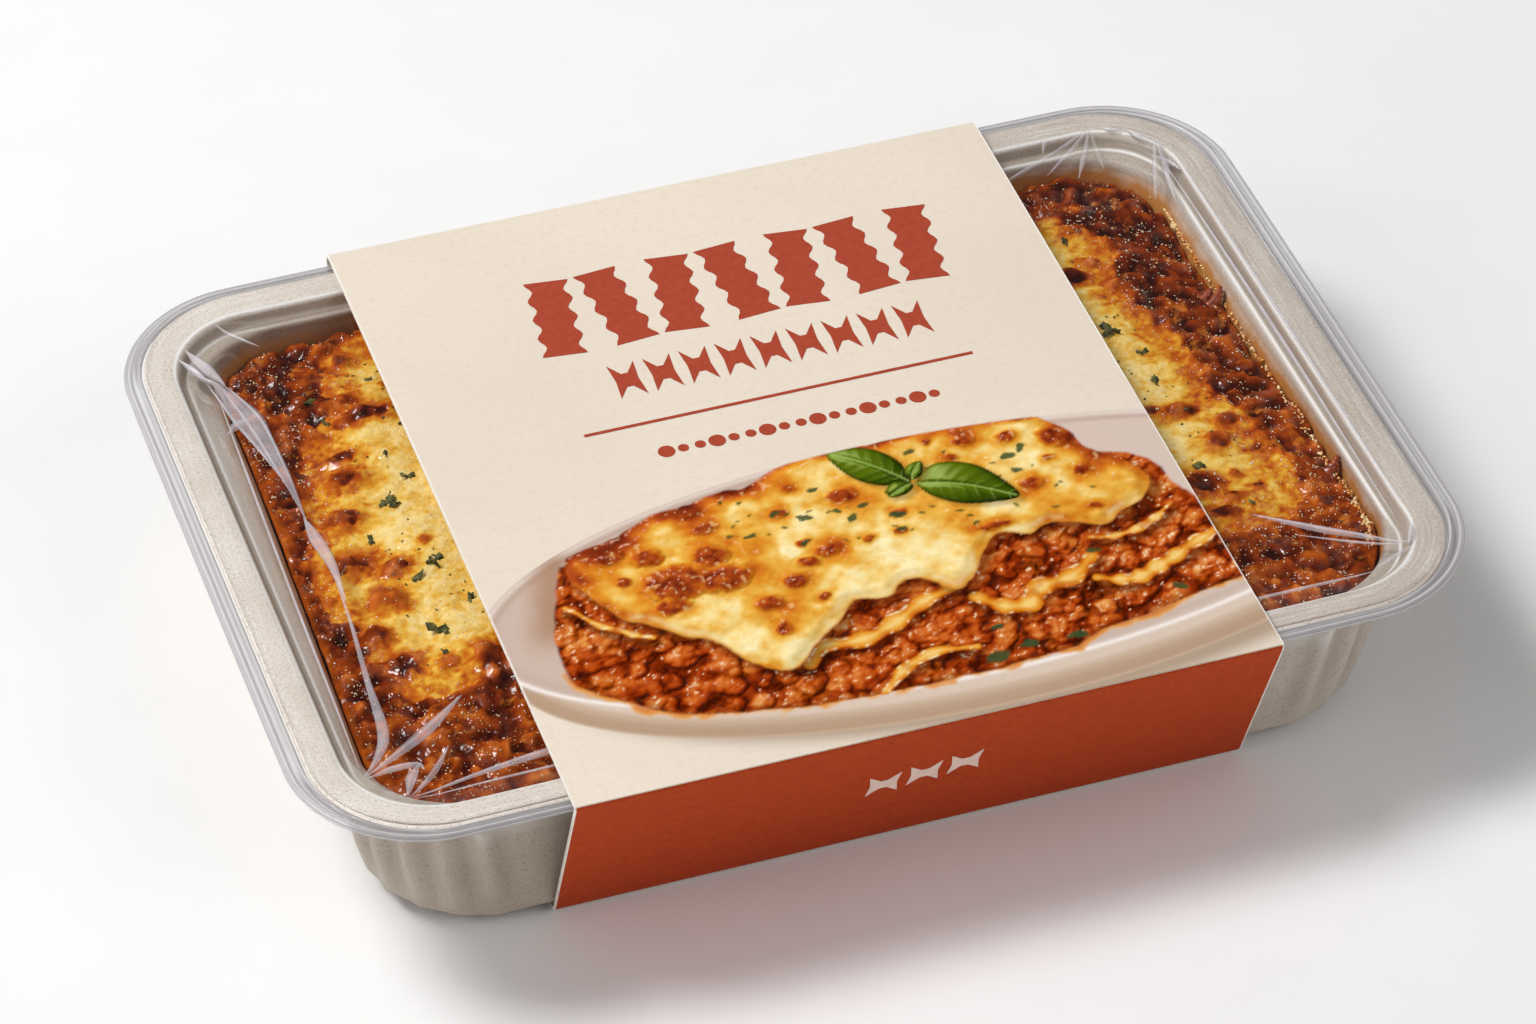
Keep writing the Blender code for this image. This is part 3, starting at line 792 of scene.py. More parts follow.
# The crust's colour follows the painted light and shade of its lumps.
height = maths(tree, "ADD", own_value("lump_shade"), maths(tree, "MULTIPLY", fine, 0.3))
height = maths(tree, "ADD", height, maths(tree, "MULTIPLY", broad, 0.6))
height = maths(tree, "ADD", height, maths(tree, "SUBTRACT", 0.84, own_value("toast")))
crust_colour = ramp(tree, height, CRUST_STOPS)
melted_bits = ramp(tree, noise(tree, 340.0, 3.0, 0.6), [(0.6, (0, 0, 0, 1)), (0.72, (0.8,) * 3 + (1,))])
crust_colour = mix_colour(tree, melted_bits, crust_colour, paint(212, 122, 40))
to_crust = ramp(tree, level, [(0.56, (0, 0, 0, 1)), (0.72, (1, 1, 1, 1))])
top_colour = mix_colour(tree, to_crust, cheese_colour, crust_colour)
oily = maths(tree, "MULTIPLY", own_value("wall"), noise(tree, 300.0, 2.0))
oily = ramp(tree, oily, [(0.2, (0, 0, 0, 1)), (0.5, (0.85,) * 3 + (1,))])
top_colour = mix_colour(tree, oily, top_colour, paint(176, 82, 12))
tree.links.new(top_colour, shader.inputs["Base Color"])
wet = noise(tree, 420.0, 3.0)
tree.links.new(ramp(tree, wet, [(0.35, (0.3,) * 3 + (1,)), (0.65, (0.6,) * 3 + (1,))]), shader.inputs["Roughness"])
tree.links.new(ramp(tree, wet, [(0.52, (0,) * 3 + (1,)), (0.6, (1,) * 4)]), shader.inputs["Coat Weight"])
rough_height = noise(tree, 1300.0, 3.0, 0.6)
bump(tree, shader, rough_height, 0.5, 0.0006)
wavy = maths(tree, "ADD", noise(tree, 620.0, 2.0, 0.4), maths(tree, "MULTIPLY", noise(tree, 1500.0, 2.0, 0.5), 0.25))
coat_bump = add_node(tree, "Bump", {"Height": wavy, "Strength": 0.6, "Distance": 0.0007})
tree.links.new(coat_bump.outputs["Normal"], shader.inputs["Coat Normal"])
food.data.materials.append(material)

# %% [markdown]
# ## Beads of fat, herbs and crisp bits
#
# The crust glistens: small pale beads of fat sit on it, their near-white colour partly a
# painted glint, and a line of golden ones marks where the sauce meets the tray. Dried herbs
# lie on the cheese as torn, curled bits of leaf, a few of them large, and some crisp strands
# of cheese stick up at the edge. Each kind is modelled once, copied with its own size and
# turn, and joined into one mesh. Every copy stands at the height of the food below it.

# %% Scattering helpers


def food_height_at(spots):
    """The height of the baked top under each of some places."""
    found = []
    for x, y in spots:
        hit, place, _, _ = food.ray_cast(Vector((x, y, 0.04)), Vector((0, 0, -1)))
        found.append(place.z if hit else CRUST_EDGE)
    return np.array(found)


def repeat_shape(name, shapes, centres, sizes, turns, tilt=0.0, stretch=1.0, seed=1):
    """One mesh with a copy of a shape at every centre, each with its size, turn and tilt."""
    rng = np.random.default_rng(seed)
    all_points, all_faces = [], []
    for index, (centre, size, angle) in enumerate(zip(centres, sizes, turns)):
        shape_points, shape_faces = shapes[index % len(shapes)]
        lean = Matrix.Rotation(float(rng.normal(0, tilt)), 3, "X") @ Matrix.Rotation(float(rng.normal(0, tilt)), 3, "Y")
        matrix = np.array(Matrix.Rotation(float(angle), 3, "Z") @ lean)
        long = np.array((size * (1 + (stretch - 1) * rng.uniform()), size, size))
        all_faces.extend([tuple(v + len(all_points) for v in face) for face in shape_faces])
        all_points.extend((shape_points * long) @ matrix.T + centre)
    mesh = bpy.data.meshes.new(name)
    mesh.from_pydata([tuple(p) for p in all_points], [], all_faces)
    piece = bpy.data.objects.new(name, mesh)
    bpy.context.scene.collection.objects.link(piece)
    only(piece)
    bpy.ops.object.shade_smooth()
    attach(piece, "root")
    print(name, "has", len(centres), "copies and", len(mesh.polygons), "faces")
    return piece


def take_shape(obj):
    """The points and faces of a small object, which is then deleted."""
    shape = places(obj).astype(np.float64)
    faces = [tuple(p.vertices) for p in obj.data.polygons]
    bpy.data.objects.remove(obj)
    return shape, faces


# %% Beads of fat
bpy.ops.object.select_all(action="DESELECT")
bpy.ops.mesh.primitive_ico_sphere_add(subdivisions=1, radius=1.0)
bead = take_shape(bpy.context.object)
rng = np.random.default_rng(11)
STRIPS = ((-73, -48), (50, 74.5))
BEADS_IN_A_STRIP = 4400
spots = []
for low_x, high_x in STRIPS:
    across = rng.uniform(low_x, high_x, BEADS_IN_A_STRIP)
    along = rng.uniform(-51, 51, BEADS_IN_A_STRIP)
    spots.append(np.column_stack((across, along)) * MM)
spots = np.concatenate(spots)
near_wall = edge_distance(spots[:, 0] - wall_lean(spots[:, 0], spots[:, 1]), spots[:, 1], food_half_x, food_half_y, FOOD_RADIUS)
crusty = smooth_step(-2.5, 1.0, crust_reach(spots[:, 0], spots[:, 1]))
clustered = smooth_step(-0.3, 0.4, swells(spots[:, 0], spots[:, 1], 3 * MM, 901, 2))
keep = (near_wall > 0.5 * MM) & (rng.uniform(0, 1, len(spots)) < (0.3 + 0.7 * crusty) * (0.25 + 0.75 * clustered))
spots = spots[keep]
sizes = 0.045 + 0.085 * rng.uniform(0, 1, len(spots)) ** 2.2
centres = np.column_stack((spots, food_height_at(spots) + sizes * 0.4 * MM))
turns = rng.uniform(0, 6.3, len(spots))
glinting_fat_beads = repeat_shape("glinting_fat_beads", [bead], centres, sizes * MM, turns, 0.4, 2.6)

# %% A line of oil along the wall
OIL_LINE = ((72.6, 46.0), (73.7, 40.0), (73.6, 30.0), (73.5, 8.0), (73.8, -16.0), (74.0, -34.0), (72.4, -42.0))
path = smooth_path(np.array(OIL_LINE), 70) * MM
picked = path[rng.uniform(0, 1, len(path)) < 0.9]
spots = picked + rng.normal(0, 0.24, picked.shape) * MM
sizes = rng.uniform(0.1, 0.27, len(spots))
centres = np.column_stack((spots, np.maximum(food_height_at(spots), CRUST_EDGE) + sizes * 0.9 * MM))
oil_beads = repeat_shape("oil_beads", [bead], centres, sizes * MM, rng.uniform(0, 6.3, len(spots)), 0.3, 1.6)

# The beads' near-white colour is partly a painted glint, partly the pale colour of fat; their gloss is real.
material, tree, shader = new_finish("glinting_bead_of_fat", Roughness=0.08, Specular_IOR_Level=1.0, Coat_Weight=0.6)
warm = noise(tree, 300.0, 2.0)
tree.links.new(ramp(tree, warm, [(0.35, paint(255, 214, 150)), (0.6, paint(255, 244, 220))]), shader.inputs["Base Color"])
glinting_fat_beads.data.materials.append(material)
material, tree, shader = new_finish("bead_of_oil", Roughness=0.06, Specular_IOR_Level=0.9, Coat_Weight=0.6)
tree.links.new(ramp(tree, noise(tree, 400.0, 2.0), [(0.35, paint(236, 150, 50)), (0.6, paint(255, 230, 170))]), shader.inputs["Base Color"])
oil_beads.data.materials.append(material)

# %% Herbs


def torn_leaf(lobes, depth, seed):
    """A small torn leaf of unit size: a curled star of lobes, with a little thickness."""
    bpy.ops.object.select_all(action="DESELECT")
    bpy.ops.mesh.primitive_circle_add(vertices=lobes * 4, radius=1.0, fill_type="TRIFAN")
    leaf = bpy.context.object
    spots_ = places(leaf).astype(np.float64)
    rng_ = np.random.default_rng(seed)
    angle, reach = np.arctan2(spots_[:, 1], spots_[:, 0]), np.hypot(spots_[:, 0], spots_[:, 1])
    frill = 1 - depth * (0.5 + 0.5 * np.cos(lobes * angle)) + rng_.uniform(-0.16, 0.16, len(spots_))
    flat = spots_[:, :2] * frill[:, None]
    curl = 0.3 * reach * np.sin(2 * angle + seed) + 0.16 * rng_.normal(0, 1, len(spots_)) * reach
    move_to(leaf, np.column_stack((flat[:, 0], flat[:, 1] * 0.75, curl)))
    modifier = leaf.modifiers.new("thickness", "SOLIDIFY")
    modifier.thickness = 0.12
    bpy.ops.object.modifier_apply(modifier=modifier.name)
    return take_shape(leaf)


LARGE_HERBS = [
    (-55.0, 12.2, 1.3), (-54.2, 11.2, 0.9), (-50.8, 16.3, 0.85), (-52.6, 21.5, 0.5), (-48.4, 27.1, 0.6), (-59.4, 36.3, 0.9),
    (-59.4, 5.3, 0.75), (-55.7, -5.3, 0.85), (-52.8, -3.0, 1.1), (-51.8, -2.2, 0.7), (-50.0, -11.7, 0.8),
    (-55.9, -15.7, 1.3), (-55.0, -16.8, 0.8), (-56.4, -21.0, 0.55), (-58.6, 31.6, 0.6), (-50.3, 38.5, 0.5),
    (55.1, 14.0, 1.2), (54.4, 13.0, 0.8), (57.8, 8.2, 0.8), (57.1, 1.6, 0.9), (56.4, 35.7, 0.7), (55.9, -18.7, 0.9),
    (58.5, -6.7, 0.5), (60.1, -28.2, 0.5),
]
herb_rows = np.array(LARGE_HERBS)
herb_rows[:, 2] *= 1.22
small = np.column_stack((rng.uniform(-60, -48, 46), rng.uniform(-26, 46, 46), rng.uniform(0.14, 0.3, 46)))
other = np.column_stack((rng.uniform(53, 63, 40), rng.uniform(-30, 40, 40), rng.uniform(0.14, 0.3, 40)))
herb_rows = np.concatenate((herb_rows, small, other))
spots = herb_rows[:, :2] * MM
centres = np.column_stack((spots, food_height_at(spots) + 0.18 * MM * herb_rows[:, 2] + 0.05 * MM))
leaves = [torn_leaf(5, 0.5, 3), torn_leaf(4, 0.35, 5), torn_leaf(6, 0.45, 8), torn_leaf(3, 0.5, 9)]
turns = rng.uniform(0, 6.3, len(spots))
herbs = repeat_shape("dried_herbs", leaves, centres, herb_rows[:, 2] * MM, turns, 0.25, 1.3)
material, tree, shader = new_finish("dried_herb", Roughness=0.55, Specular_IOR_Level=0.4)
hue = noise(tree, 700.0, 3.0, 0.6)
greens = [(0.3, paint(40, 42, 14)), (0.5, paint(78, 80, 30)), (0.7, paint(132, 128, 66))]
tree.links.new(ramp(tree, hue, greens), shader.inputs["Base Color"])
bump(tree, shader, noise(tree, 1800.0, 2.0), 0.5, 0.0003)
herbs.data.materials.append(material)

# %% Crisp strands at the edge
STRANDS = [
    [(71.4, 15.6, 24.4), (72.6, 16.0, 25.5), (73.3, 16.6, 26.2), (73.5, 17.3, 26.5)],
    [(71.0, 17.4, 24.4), (72.0, 17.6, 25.3), (72.5, 18.0, 25.6)],
    [(73.0, -24.8, 24.4), (74.0, -24.6, 25.4), (74.6, -24.2, 26.0), (74.8, -23.6, 26.2)],
]
bpy.ops.object.select_all(action="DESELECT")
strand_curve = bpy.data.curves.new("crisp_strands", "CURVE")
strand_curve.dimensions = "3D"
strand_curve.bevel_depth = 0.8 * MM
strand_curve.bevel_resolution = 2
strand_curve.use_fill_caps = True
for line in STRANDS:
    path = smooth_path(np.array(line), 5)
    spline = strand_curve.splines.new("POLY")
    spline.points.add(len(path) - 1)
    for index, (point, spot) in enumerate(zip(spline.points, path)):
        point.co = (*(spot * MM), 1.0)
        point.radius = 1.25 - 1.0 * index / len(path) + 0.2 * math.sin(index * 2.1)
strands = bpy.data.objects.new("crisp_strands", strand_curve)
bpy.context.scene.collection.objects.link(strands)
only(strands)
bpy.ops.object.convert(target="MESH")
strands = bpy.context.object
bpy.ops.object.shade_smooth()
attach(strands, "root")
material, tree, shader = new_finish("crisp_cheese", Roughness=0.3, Specular_IOR_Level=0.4, Coat_Weight=0.5)
hue = noise(tree, 900.0, 3.0)
browns = [(0.3, paint(110, 38, 8)), (0.55, paint(164, 66, 14)), (0.75, paint(206, 112, 34))]
tree.links.new(ramp(tree, hue, browns), shader.inputs["Base Color"])
bump(tree, shader, hue, 0.6, 0.0004)
strands.data.materials.append(material)
print("crisp strands:", len(STRANDS))

# %% [markdown]
# ## The film
#
# The film is sealed to the flange and drawn down a little over the opening. It is nearly
# invisible, and shows only by its gloss and its creases. The film itself is a fine grid,
# given a thickness, that dips inside the flange. It has a see-through shader with a gloss,
# and no colour of its own, so that it never puts a haze over the food.

# %% Film
film_low, film_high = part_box("film_lid")
FILM_RADIUS = 17.1 * MM
FILM_THICK = 0.04 * MM


def film_height(x, y):
    """The height of the film's top at a place."""
    from_edge = edge_distance(x, y, film_high.x, film_high.y, FILM_RADIUS)
    dip = -0.75 * MM * smooth_step(4.0 * MM, 7.5 * MM, from_edge)
    slack = 0.16 * MM * swells(x, y, 19 * MM, 91, 2) * smooth_step(3 * MM, 9 * MM, from_edge)
    return film_low.z + 0.06 * MM + dip + slack


film = add_sheet("clear_film", film_high.x, film_high.y, FILM_RADIUS, 130, 150, film_low.z, 0.048)
points = places(film).astype(np.float64)
x, y = points[:, 0], points[:, 1]
from_edge = edge_distance(x, y, film_high.x, film_high.y, FILM_RADIUS)
move_to(film, np.column_stack((x, y, film_height(x, y))))
set_values(film, "flange", 1 - smooth_step(4.2 * MM, 5.2 * MM, from_edge))
only(film)
modifier = film.modifiers.new("thickness", "SOLIDIFY")
modifier.thickness = FILM_THICK
modifier.offset = -1.0
bpy.ops.object.modifier_apply(modifier=modifier.name)
bpy.ops.object.shade_smooth()
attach(film, "root")
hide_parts("film_lid")


def see_through(name, tint, roughness, gloss_colour):
    """A clear film: light goes straight through, with a gloss on top."""
    material, tree, shader = new_finish(name)
    through = add_node(tree, "BsdfTransparent", {"Color": tint})
    gloss = add_node(tree, "BsdfAnisotropic", {"Color": gloss_colour, "Roughness": roughness})
    tree.nodes.remove(shader)
    blend = add_node(tree, "MixShader", {1: through.outputs[0], 2: gloss.outputs[0]})
    tree.links.new(blend.outputs[0], tree.nodes["Material Output"].inputs["Surface"])
    return material, tree, gloss, blend


material, tree, gloss, blend = see_through("clear_film", (0.985, 0.985, 0.985, 1.0), 0.07, (1, 1, 1, 1))
facing = add_node(tree, "LayerWeight", {"Blend": 0.5}).outputs["Facing"]
flange_share = add_node(tree, "Attribute", attribute_name="flange").outputs["Fac"]
share = maths(tree, "POWER", facing, 3.0)
share = maths(tree, "MULTIPLY", share, maths(tree, "ADD", maths(tree, "MULTIPLY", flange_share, 0.7), 0.3), clamp=True)
tree.links.new(share, blend.inputs[0])
wrinkle = noise(tree, 90.0, 2.0, 0.5)
bump(tree, gloss, wrinkle, 0.25, 0.0012)
film.data.materials.append(material)
print("film faces:", len(film.data.polygons))

# %% [markdown]
# ## The creases
#
# Where the film is gathered, it folds into thin ridges that fan out from the corners. They
# show as lilac-white streaks: painted highlights, partly the film's own milkiness at the
# folds. A few such lines also run along the right inner edges. Each crease is a low ridge
# along a smooth path: two feet on the film and a raised line between them, tapered to a point
# at both ends and closed underneath. All of them are one mesh, and one value says how much
# painted highlight and milkiness each line has.

# %% Crease helpers


class Ridges:
    """Collects ridges of many creases, and makes them one mesh."""

    def __init__(self):
        self.points, self.faces, self.milky_highlight = [], [], []

    def add(self, path, height, milky_highlight, steps=6):
        """One crease. Each row of the path holds x, y and width in millimetres."""
        rows = smooth_path(path, steps)
        middle, width = rows[:, :2] * MM, np.maximum(rows[:, 2], 0.02) * MM
        way = np.gradient(middle, axis=0)
        way /= np.maximum(np.linalg.norm(way, axis=1, keepdims=True), 1e-12)
        side = np.column_stack((-way[:, 1], way[:, 0]))
        start = len(self.points)
        # Five places across: a foot, a shoulder, the ridge, a shoulder and a foot.
        across = ((-0.5, 0.0, 1.0), (-0.3, 0.7, 0.55), (0.05, 1.0, 0.8), (0.32, 0.6, 0.45), (0.5, 0.0, 0.9))
        for spot, normal, wide in zip(middle, side, width):
            for offset, lift, share in across:
                x, y = spot + normal * offset * wide
                ground = float(film_height(np.array([x]), np.array([y]))[0]) + 0.02 * MM
                self.points.append((x, y, ground + lift * height * min(wide, 1.2 * MM)))
                self.milky_highlight.append(milky_highlight * share)
            x, y = spot
            self.points.append((x, y, ground - 0.05 * MM))
            self.milky_highlight.append(0.0)
        count = len(across) + 1
        for row in range(len(rows) - 1):
            one, two = start + row * count, start + (row + 1) * count
            for column in range(count):
                after = (column + 1) % count
                self.faces.append((one + column, one + after, two + after, two + column))
        last = start + (len(rows) - 1) * count
        self.faces.append(tuple(start + c for c in reversed(range(count))))
        self.faces.append(tuple(last + c for c in range(count)))

    def build(self, name):
        """Makes the mesh, with the painted highlight and milkiness as a value on its vertices."""
        mesh = bpy.data.meshes.new(name)
        mesh.from_pydata(self.points, [], self.faces)
        piece = bpy.data.objects.new(name, mesh)
        bpy.context.scene.collection.objects.link(piece)
        set_values(piece, "milky_highlight", self.milky_highlight)
        only(piece)
        bpy.ops.object.mode_set(mode="EDIT")
        bpy.ops.mesh.select_all(action="SELECT")
        bpy.ops.mesh.normals_make_consistent(inside=False)
        bpy.ops.object.mode_set(mode="OBJECT")
        bpy.ops.object.shade_smooth()
        return piece


def opening_path(inset, first, last, width, steps=14):
    """A path along the rim of the opening, between two angles in degrees, with a soft width."""
    half_x, half_y, radius = 81.9 - inset, 59.2 - inset, 17.4 - inset * 0.75
    found = []
    for step in range(steps + 1):
        angle = math.radians(first + (last - first) * step / steps)
        ray = np.array((math.cos(angle), math.sin(angle)))
        low, high = 0.0, 120.0
        for _ in range(30):
            middle = (low + high) / 2
            spot = np.array([ray * middle])
            inside = edge_distance(spot[:, 0], spot[:, 1], half_x, half_y, radius)[0] > 0
            low, high = (middle, high) if inside else (low, middle)
        taper = math.sin(math.pi * (step + 0.15) / (steps + 0.3)) ** 0.5
        found.append((*(ray * low), width * taper))
    return found


# %% Creases
creases = Ridges()
creases.add([(-69, 53, 0.1), (-67, 50, 0.7), (-64, 46.5, 0.1)], 0.5, 0.7)
creases.add([(-74.5, 48.5, 0.1), (-73, 45, 2.0), (-72, 42, 1.5), (-71, 39.5, 0.2)], 0.5, 1.0)
creases.add([(-76, 46.6, 0.1), (-74.4, 44, 1.2), (-73.2, 41.5, 0.2)], 0.5, 1.0)
creases.add([(-75, 44, 0.1), (-73, 41, 0.9), (-71.3, 39.3, 0.1)], 0.5, 0.8)
creases.add([(-72.6, 41, 0.3), (-71.2, 36.5, 2.4), (-70, 31.5, 4.4), (-69.2, 26, 3.2), (-68.2, 17, 1.5), (-68, 7, 0.1)], 0.2, 0.62)
creases.add([(-73.4, 40.6, 0.1), (-72.6, 36.0, 0.4), (-71.8, 31, 0.5), (-70.4, 25, 0.4), (-68.8, 17, 0.1)], 0.4, 0.95)
creases.add([(-71.4, 40, 0.1), (-69.8, 36.0, 0.4), (-68.2, 30.5, 0.5), (-67.8, 23, 0.4), (-67.8, 13, 0.1)], 0.4, 0.95)
creases.add([(-71.6, 38.5, 0.1), (-70.6, 33, 0.5), (-69.6, 26, 0.5), (-68.6, 15, 0.1)], 0.4, 1.0)
creases.add([(-69.6, 31, 0.6), (-71.6, 30.4, 1.8), (-73.4, 28.8, 0.2)], 0.25, 0.75)
creases.add([(-68.2, 8, 0.1), (-67.8, 3, 1.9), (-67.2, -3, 1.4), (-67.4, -11, 0.15)], 0.3, 0.78)
creases.add([(-67.4, -3, 0.1), (-68, -15, 0.5), (-69.2, -28, 0.9), (-70, -38, 1.6), (-72, -42.5, 1.1), (-75, -46, 0.1)], 0.3, 0.7)
creases.add([(-72.6, 39, 0.1), (-73.2, 20, 0.4), (-74, -5, 0.4), (-74.6, -30, 0.4), (-75, -44, 0.1)], 0.4, 0.95)
creases.add([(-75, -46, 0.1), (-69, -42.6, 1.3), (-64, -39.4, 1.8), (-58, -34.5, 0.2)], 0.3, 0.7)
creases.add([(-74.6, -46.2, 0.1), (-71, -45.4, 1.2), (-67.5, -45.6, 0.9), (-66.8, -47, 0.1)], 0.3, 0.75)
creases.add([(-70.5, -51.5, 0.1), (-69, -48, 1.5), (-67.8, -46.4, 0.8), (-67, -45.4, 0.1)], 0.3, 0.7)
creases.add([(-70.3, -51.7, 0.1), (-66, -48, 1.0), (-62.5, -43.5, 0.2)], 0.3, 0.65)
creases.add([(-70.3, -51.9, 0.1), (-60, -50, 0.8), (-49, -48.8, 1.4), (-38, -48.6, 0.2)], 0.3, 0.75)
creases.add([(-69.5, -52.3, 0.1), (-58, -51.9, 0.5), (-44, -51.9, 0.5), (-36, -51.9, 0.1)], 0.3, 0.8)
for far, near, milky_highlight in (
    ((67.0, 54.4), (49.0, 46.2), 0.55), ((67.0, 54.4), (57.6, 46.6), 0.5), ((67.2, 54.2), (61.8, 44.4), 0.6),
    ((67.4, 54.0), (66.2, 45.4), 0.4), ((75.8, 49.2), (70.8, 36.0), 0.6), ((76.0, 48.8), (73.4, 34.5), 0.65),
    ((76.2, 48.2), (74.6, 39.5), 0.55),
):
    reach = np.array(near) - np.array(far)
    rows_ = [(*(np.array(far) + share * reach), wide) for share, wide in ((0, 0.15), (0.3, 0.7), (0.6, 0.8), (1, 0.08))]
    creases.add(rows_, 0.35, milky_highlight)
creases.add([(60.5, 54.6, 0.1), (59.6, 53.2, 0.5), (58.9, 51.9, 0.1)], 0.4, 0.8)
creases.add([(76.6, 40.8, 0.1), (75.8, 43.4, 0.8), (74.0, 46.4, 0.1)], 0.4, 0.9)
creases.add([(72.5, 52.6, 0.1), (73.5, 50.6, 1.1), (75.2, 48, 0.3)], 0.4, 0.8)
creases.add([(69.3, 54.1, 0.1), (70.3, 53.2, 0.9), (71.8, 52.6, 0.1)], 0.4, 0.8)
creases.add([(75, -48, 0.1), (70, -44.6, 1.0), (64, -40.6, 1.3), (57, -35, 0.15)], 0.4, 0.85)
creases.add([(75.3, -48.3, 0.1), (69, -45.6, 0.5), (61, -41, 0.1)], 0.4, 0.9)
creases.add([(76.8, -44.5, 0.1), (76, -46.5, 1.0), (74.8, -48.6, 0.2)], 0.4, 0.9)
creases.add([(74.6, -49.2, 0.1), (71.6, -50.3, 0.9), (68.6, -51.4, 0.1)], 0.4, 0.75)
creases.add([(69, -51.9, 0.1), (60, -51.8, 0.7), (50, -51.7, 0.6), (42, -51.6, 0.1)], 0.3, 0.75)
# Two thin lines along the right inner edges: painted highlights of the flange's and the ledge's edges.
creases.add([(77.2, 46, 0.1), (77.4, 20, 0.45), (77.4, -10, 0.5), (77.2, -40, 0.1)], 0.3, 0.9)
creases.add([(75.2, 44, 0.1), (75.5, 20, 0.5), (75.6, -10, 0.55), (75.4, -42, 0.1)], 0.3, 0.95)
crease_mesh = creases.build("film_creases")
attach(crease_mesh, "root")

# A lilac-white, glossy finish, mixed in by each line's share: painted highlight, partly milky film.
material, tree, shader = new_finish("creased_film", Roughness=0.16, Base_Color=paint(240, 234, 240), Specular_IOR_Level=0.8)
through = add_node(tree, "BsdfTransparent", {"Color": (0.99, 0.99, 0.99, 1.0)})
milky_highlight = add_node(tree, "Attribute", attribute_name="milky_highlight").outputs["Fac"]
cloudy = maths(tree, "ADD", maths(tree, "MULTIPLY", noise(tree, 260.0, 3.0), 0.9), 0.25)
share = maths(tree, "MULTIPLY", milky_highlight, cloudy, clamp=True)
blend = add_node(tree, "MixShader", {0: share, 1: through.outputs[0], 2: shader.outputs[0]})
tree.links.new(blend.outputs[0], tree.nodes["Material Output"].inputs["Surface"])
bump(tree, shader, noise(tree, 500.0, 2.0), 0.3, 0.0004)
crease_mesh.data.materials.append(material)
print("creases:", len(crease_mesh.data.polygons), "faces")

# %% [markdown]
# ## The picture on the card
#
# The card carries a picture of the meal: a slice on a pale plate, with two leaves on top.
# It is ink, so it has no relief of its own. It is made as a thin sheet of fine cells that
# lies on the card. Each shape in it is a smooth outline or an ellipse, and fields of colour
# fill the shapes. Light and shade come from imagined heights, lit from the upper left, as an
# airbrush artist would paint them. Where the picture has no ink, the card shows.

# %% Picture helpers
SLEEVE_TURN = math.radians(-0.55)
SLEEVE_SHIFT = 0.3 * MM
SLEEVE_HALF_LENGTH = 50.35
sleeve_low, sleeve_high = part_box("sleeve")
CARD_TOP = sleeve_high.z


def on_sleeve(x, y, lift):
    """Places in the sleeve's own millimetres, as points in the frame's metres."""
    c, s = math.cos(SLEEVE_TURN), math.sin(SLEEVE_TURN)
    x, y = np.asarray(x, dtype=float) * MM, np.asarray(y, dtype=float) * MM
    lift = np.full_like(x, lift * MM)
    return np.column_stack((c * x - s * y + SLEEVE_SHIFT, s * x + c * y, CARD_TOP + lift))


def line_distance(x, y, line, steps=8):
    """Distance from a smooth open line, and how far along it the nearest place is, 0 to 1."""
    curve = smooth_path(line, steps)
    nearest, along = np.full(x.shape, 1e9), np.zeros(x.shape)
    count = len(curve) - 1
    for index in range(count):
        (x0, y0), (x1, y1) = curve[index][:2], curve[index + 1][:2]
        dx, dy = x1 - x0, y1 - y0
        share = np.clip(((x - x0) * dx + (y - y0) * dy) / max(dx * dx + dy * dy, 1e-12), 0, 1)
        away = np.hypot(x - x0 - share * dx, y - y0 - share * dy)
        along = np.where(away < nearest, (index + share) / count, along)
        nearest = np.minimum(nearest, away)
    return nearest, along


def ellipse_distance(x, y, centre, half, tilt=0.0):
    """About how far each point lies inside an ellipse."""
    c, s = math.cos(math.radians(tilt)), math.sin(math.radians(tilt))
    u, v = (x - centre[0]) * c + (y - centre[1]) * s, (y - centre[1]) * c - (x - centre[0]) * s
    reach = np.maximum(np.hypot(u / half[0], v / half[1]), 1e-6)
    slope = np.hypot(u / half[0] ** 2, v / half[1] ** 2) / reach
    return (1 - reach) / np.maximum(slope, 1e-6)


def lay(colour, over, share):
    """Lays a colour over a picture by a share from 0 to 1."""
    share = np.clip(share, 0, 1)[..., None]
    return colour * (1 - share) + np.asarray(over)[..., :3] * share


def tone(*rgb):
    """A colour as an array of three linear values."""
    return np.array(paint(*rgb)[:3])


def shades(values, stops):
    """A colour for each value, between named stops."""
    places_, colours = [s[0] for s in stops], np.array([tone(*s[1]) for s in stops])
    return np.stack([np.interp(values, places_, colours[:, c]) for c in range(3)], axis=-1)


def lit_from_upper_left(height, cell, depth=1.0):
    """Light on an imagined relief, and its gloss; both about 0 to 1."""
    slope_y, slope_x = np.gradient(height * depth, cell)
    length = np.sqrt(slope_x**2 + slope_y**2 + 1)
    light = (-slope_x * -0.42 - slope_y * 0.48 + 0.77) / length
    gloss = np.clip((slope_x * 0.2 - slope_y * 0.26 + 0.945) / length, 0, 1) ** 60
    return np.clip(light, 0, 1), gloss


# %% The picture's fields
PICTURE_BACK, PICTURE_FRONT, CELL = -2.6, -62.7, 0.27
columns = int(2 * SLEEVE_HALF_LENGTH / CELL)
rows = int((PICTURE_BACK - PICTURE_FRONT) / CELL)
across = np.linspace(-SLEEVE_HALF_LENGTH + 0.02, SLEEVE_HALF_LENGTH - 0.02, columns + 1)
ahead = np.linspace(PICTURE_FRONT, PICTURE_BACK, rows + 1)
px, py = np.meshgrid(across, ahead)
wx, wy = px + 0.35 * swells(px, py, 2.5, 301, 2), py + 0.35 * swells(px, py, 2.5, 351, 2)

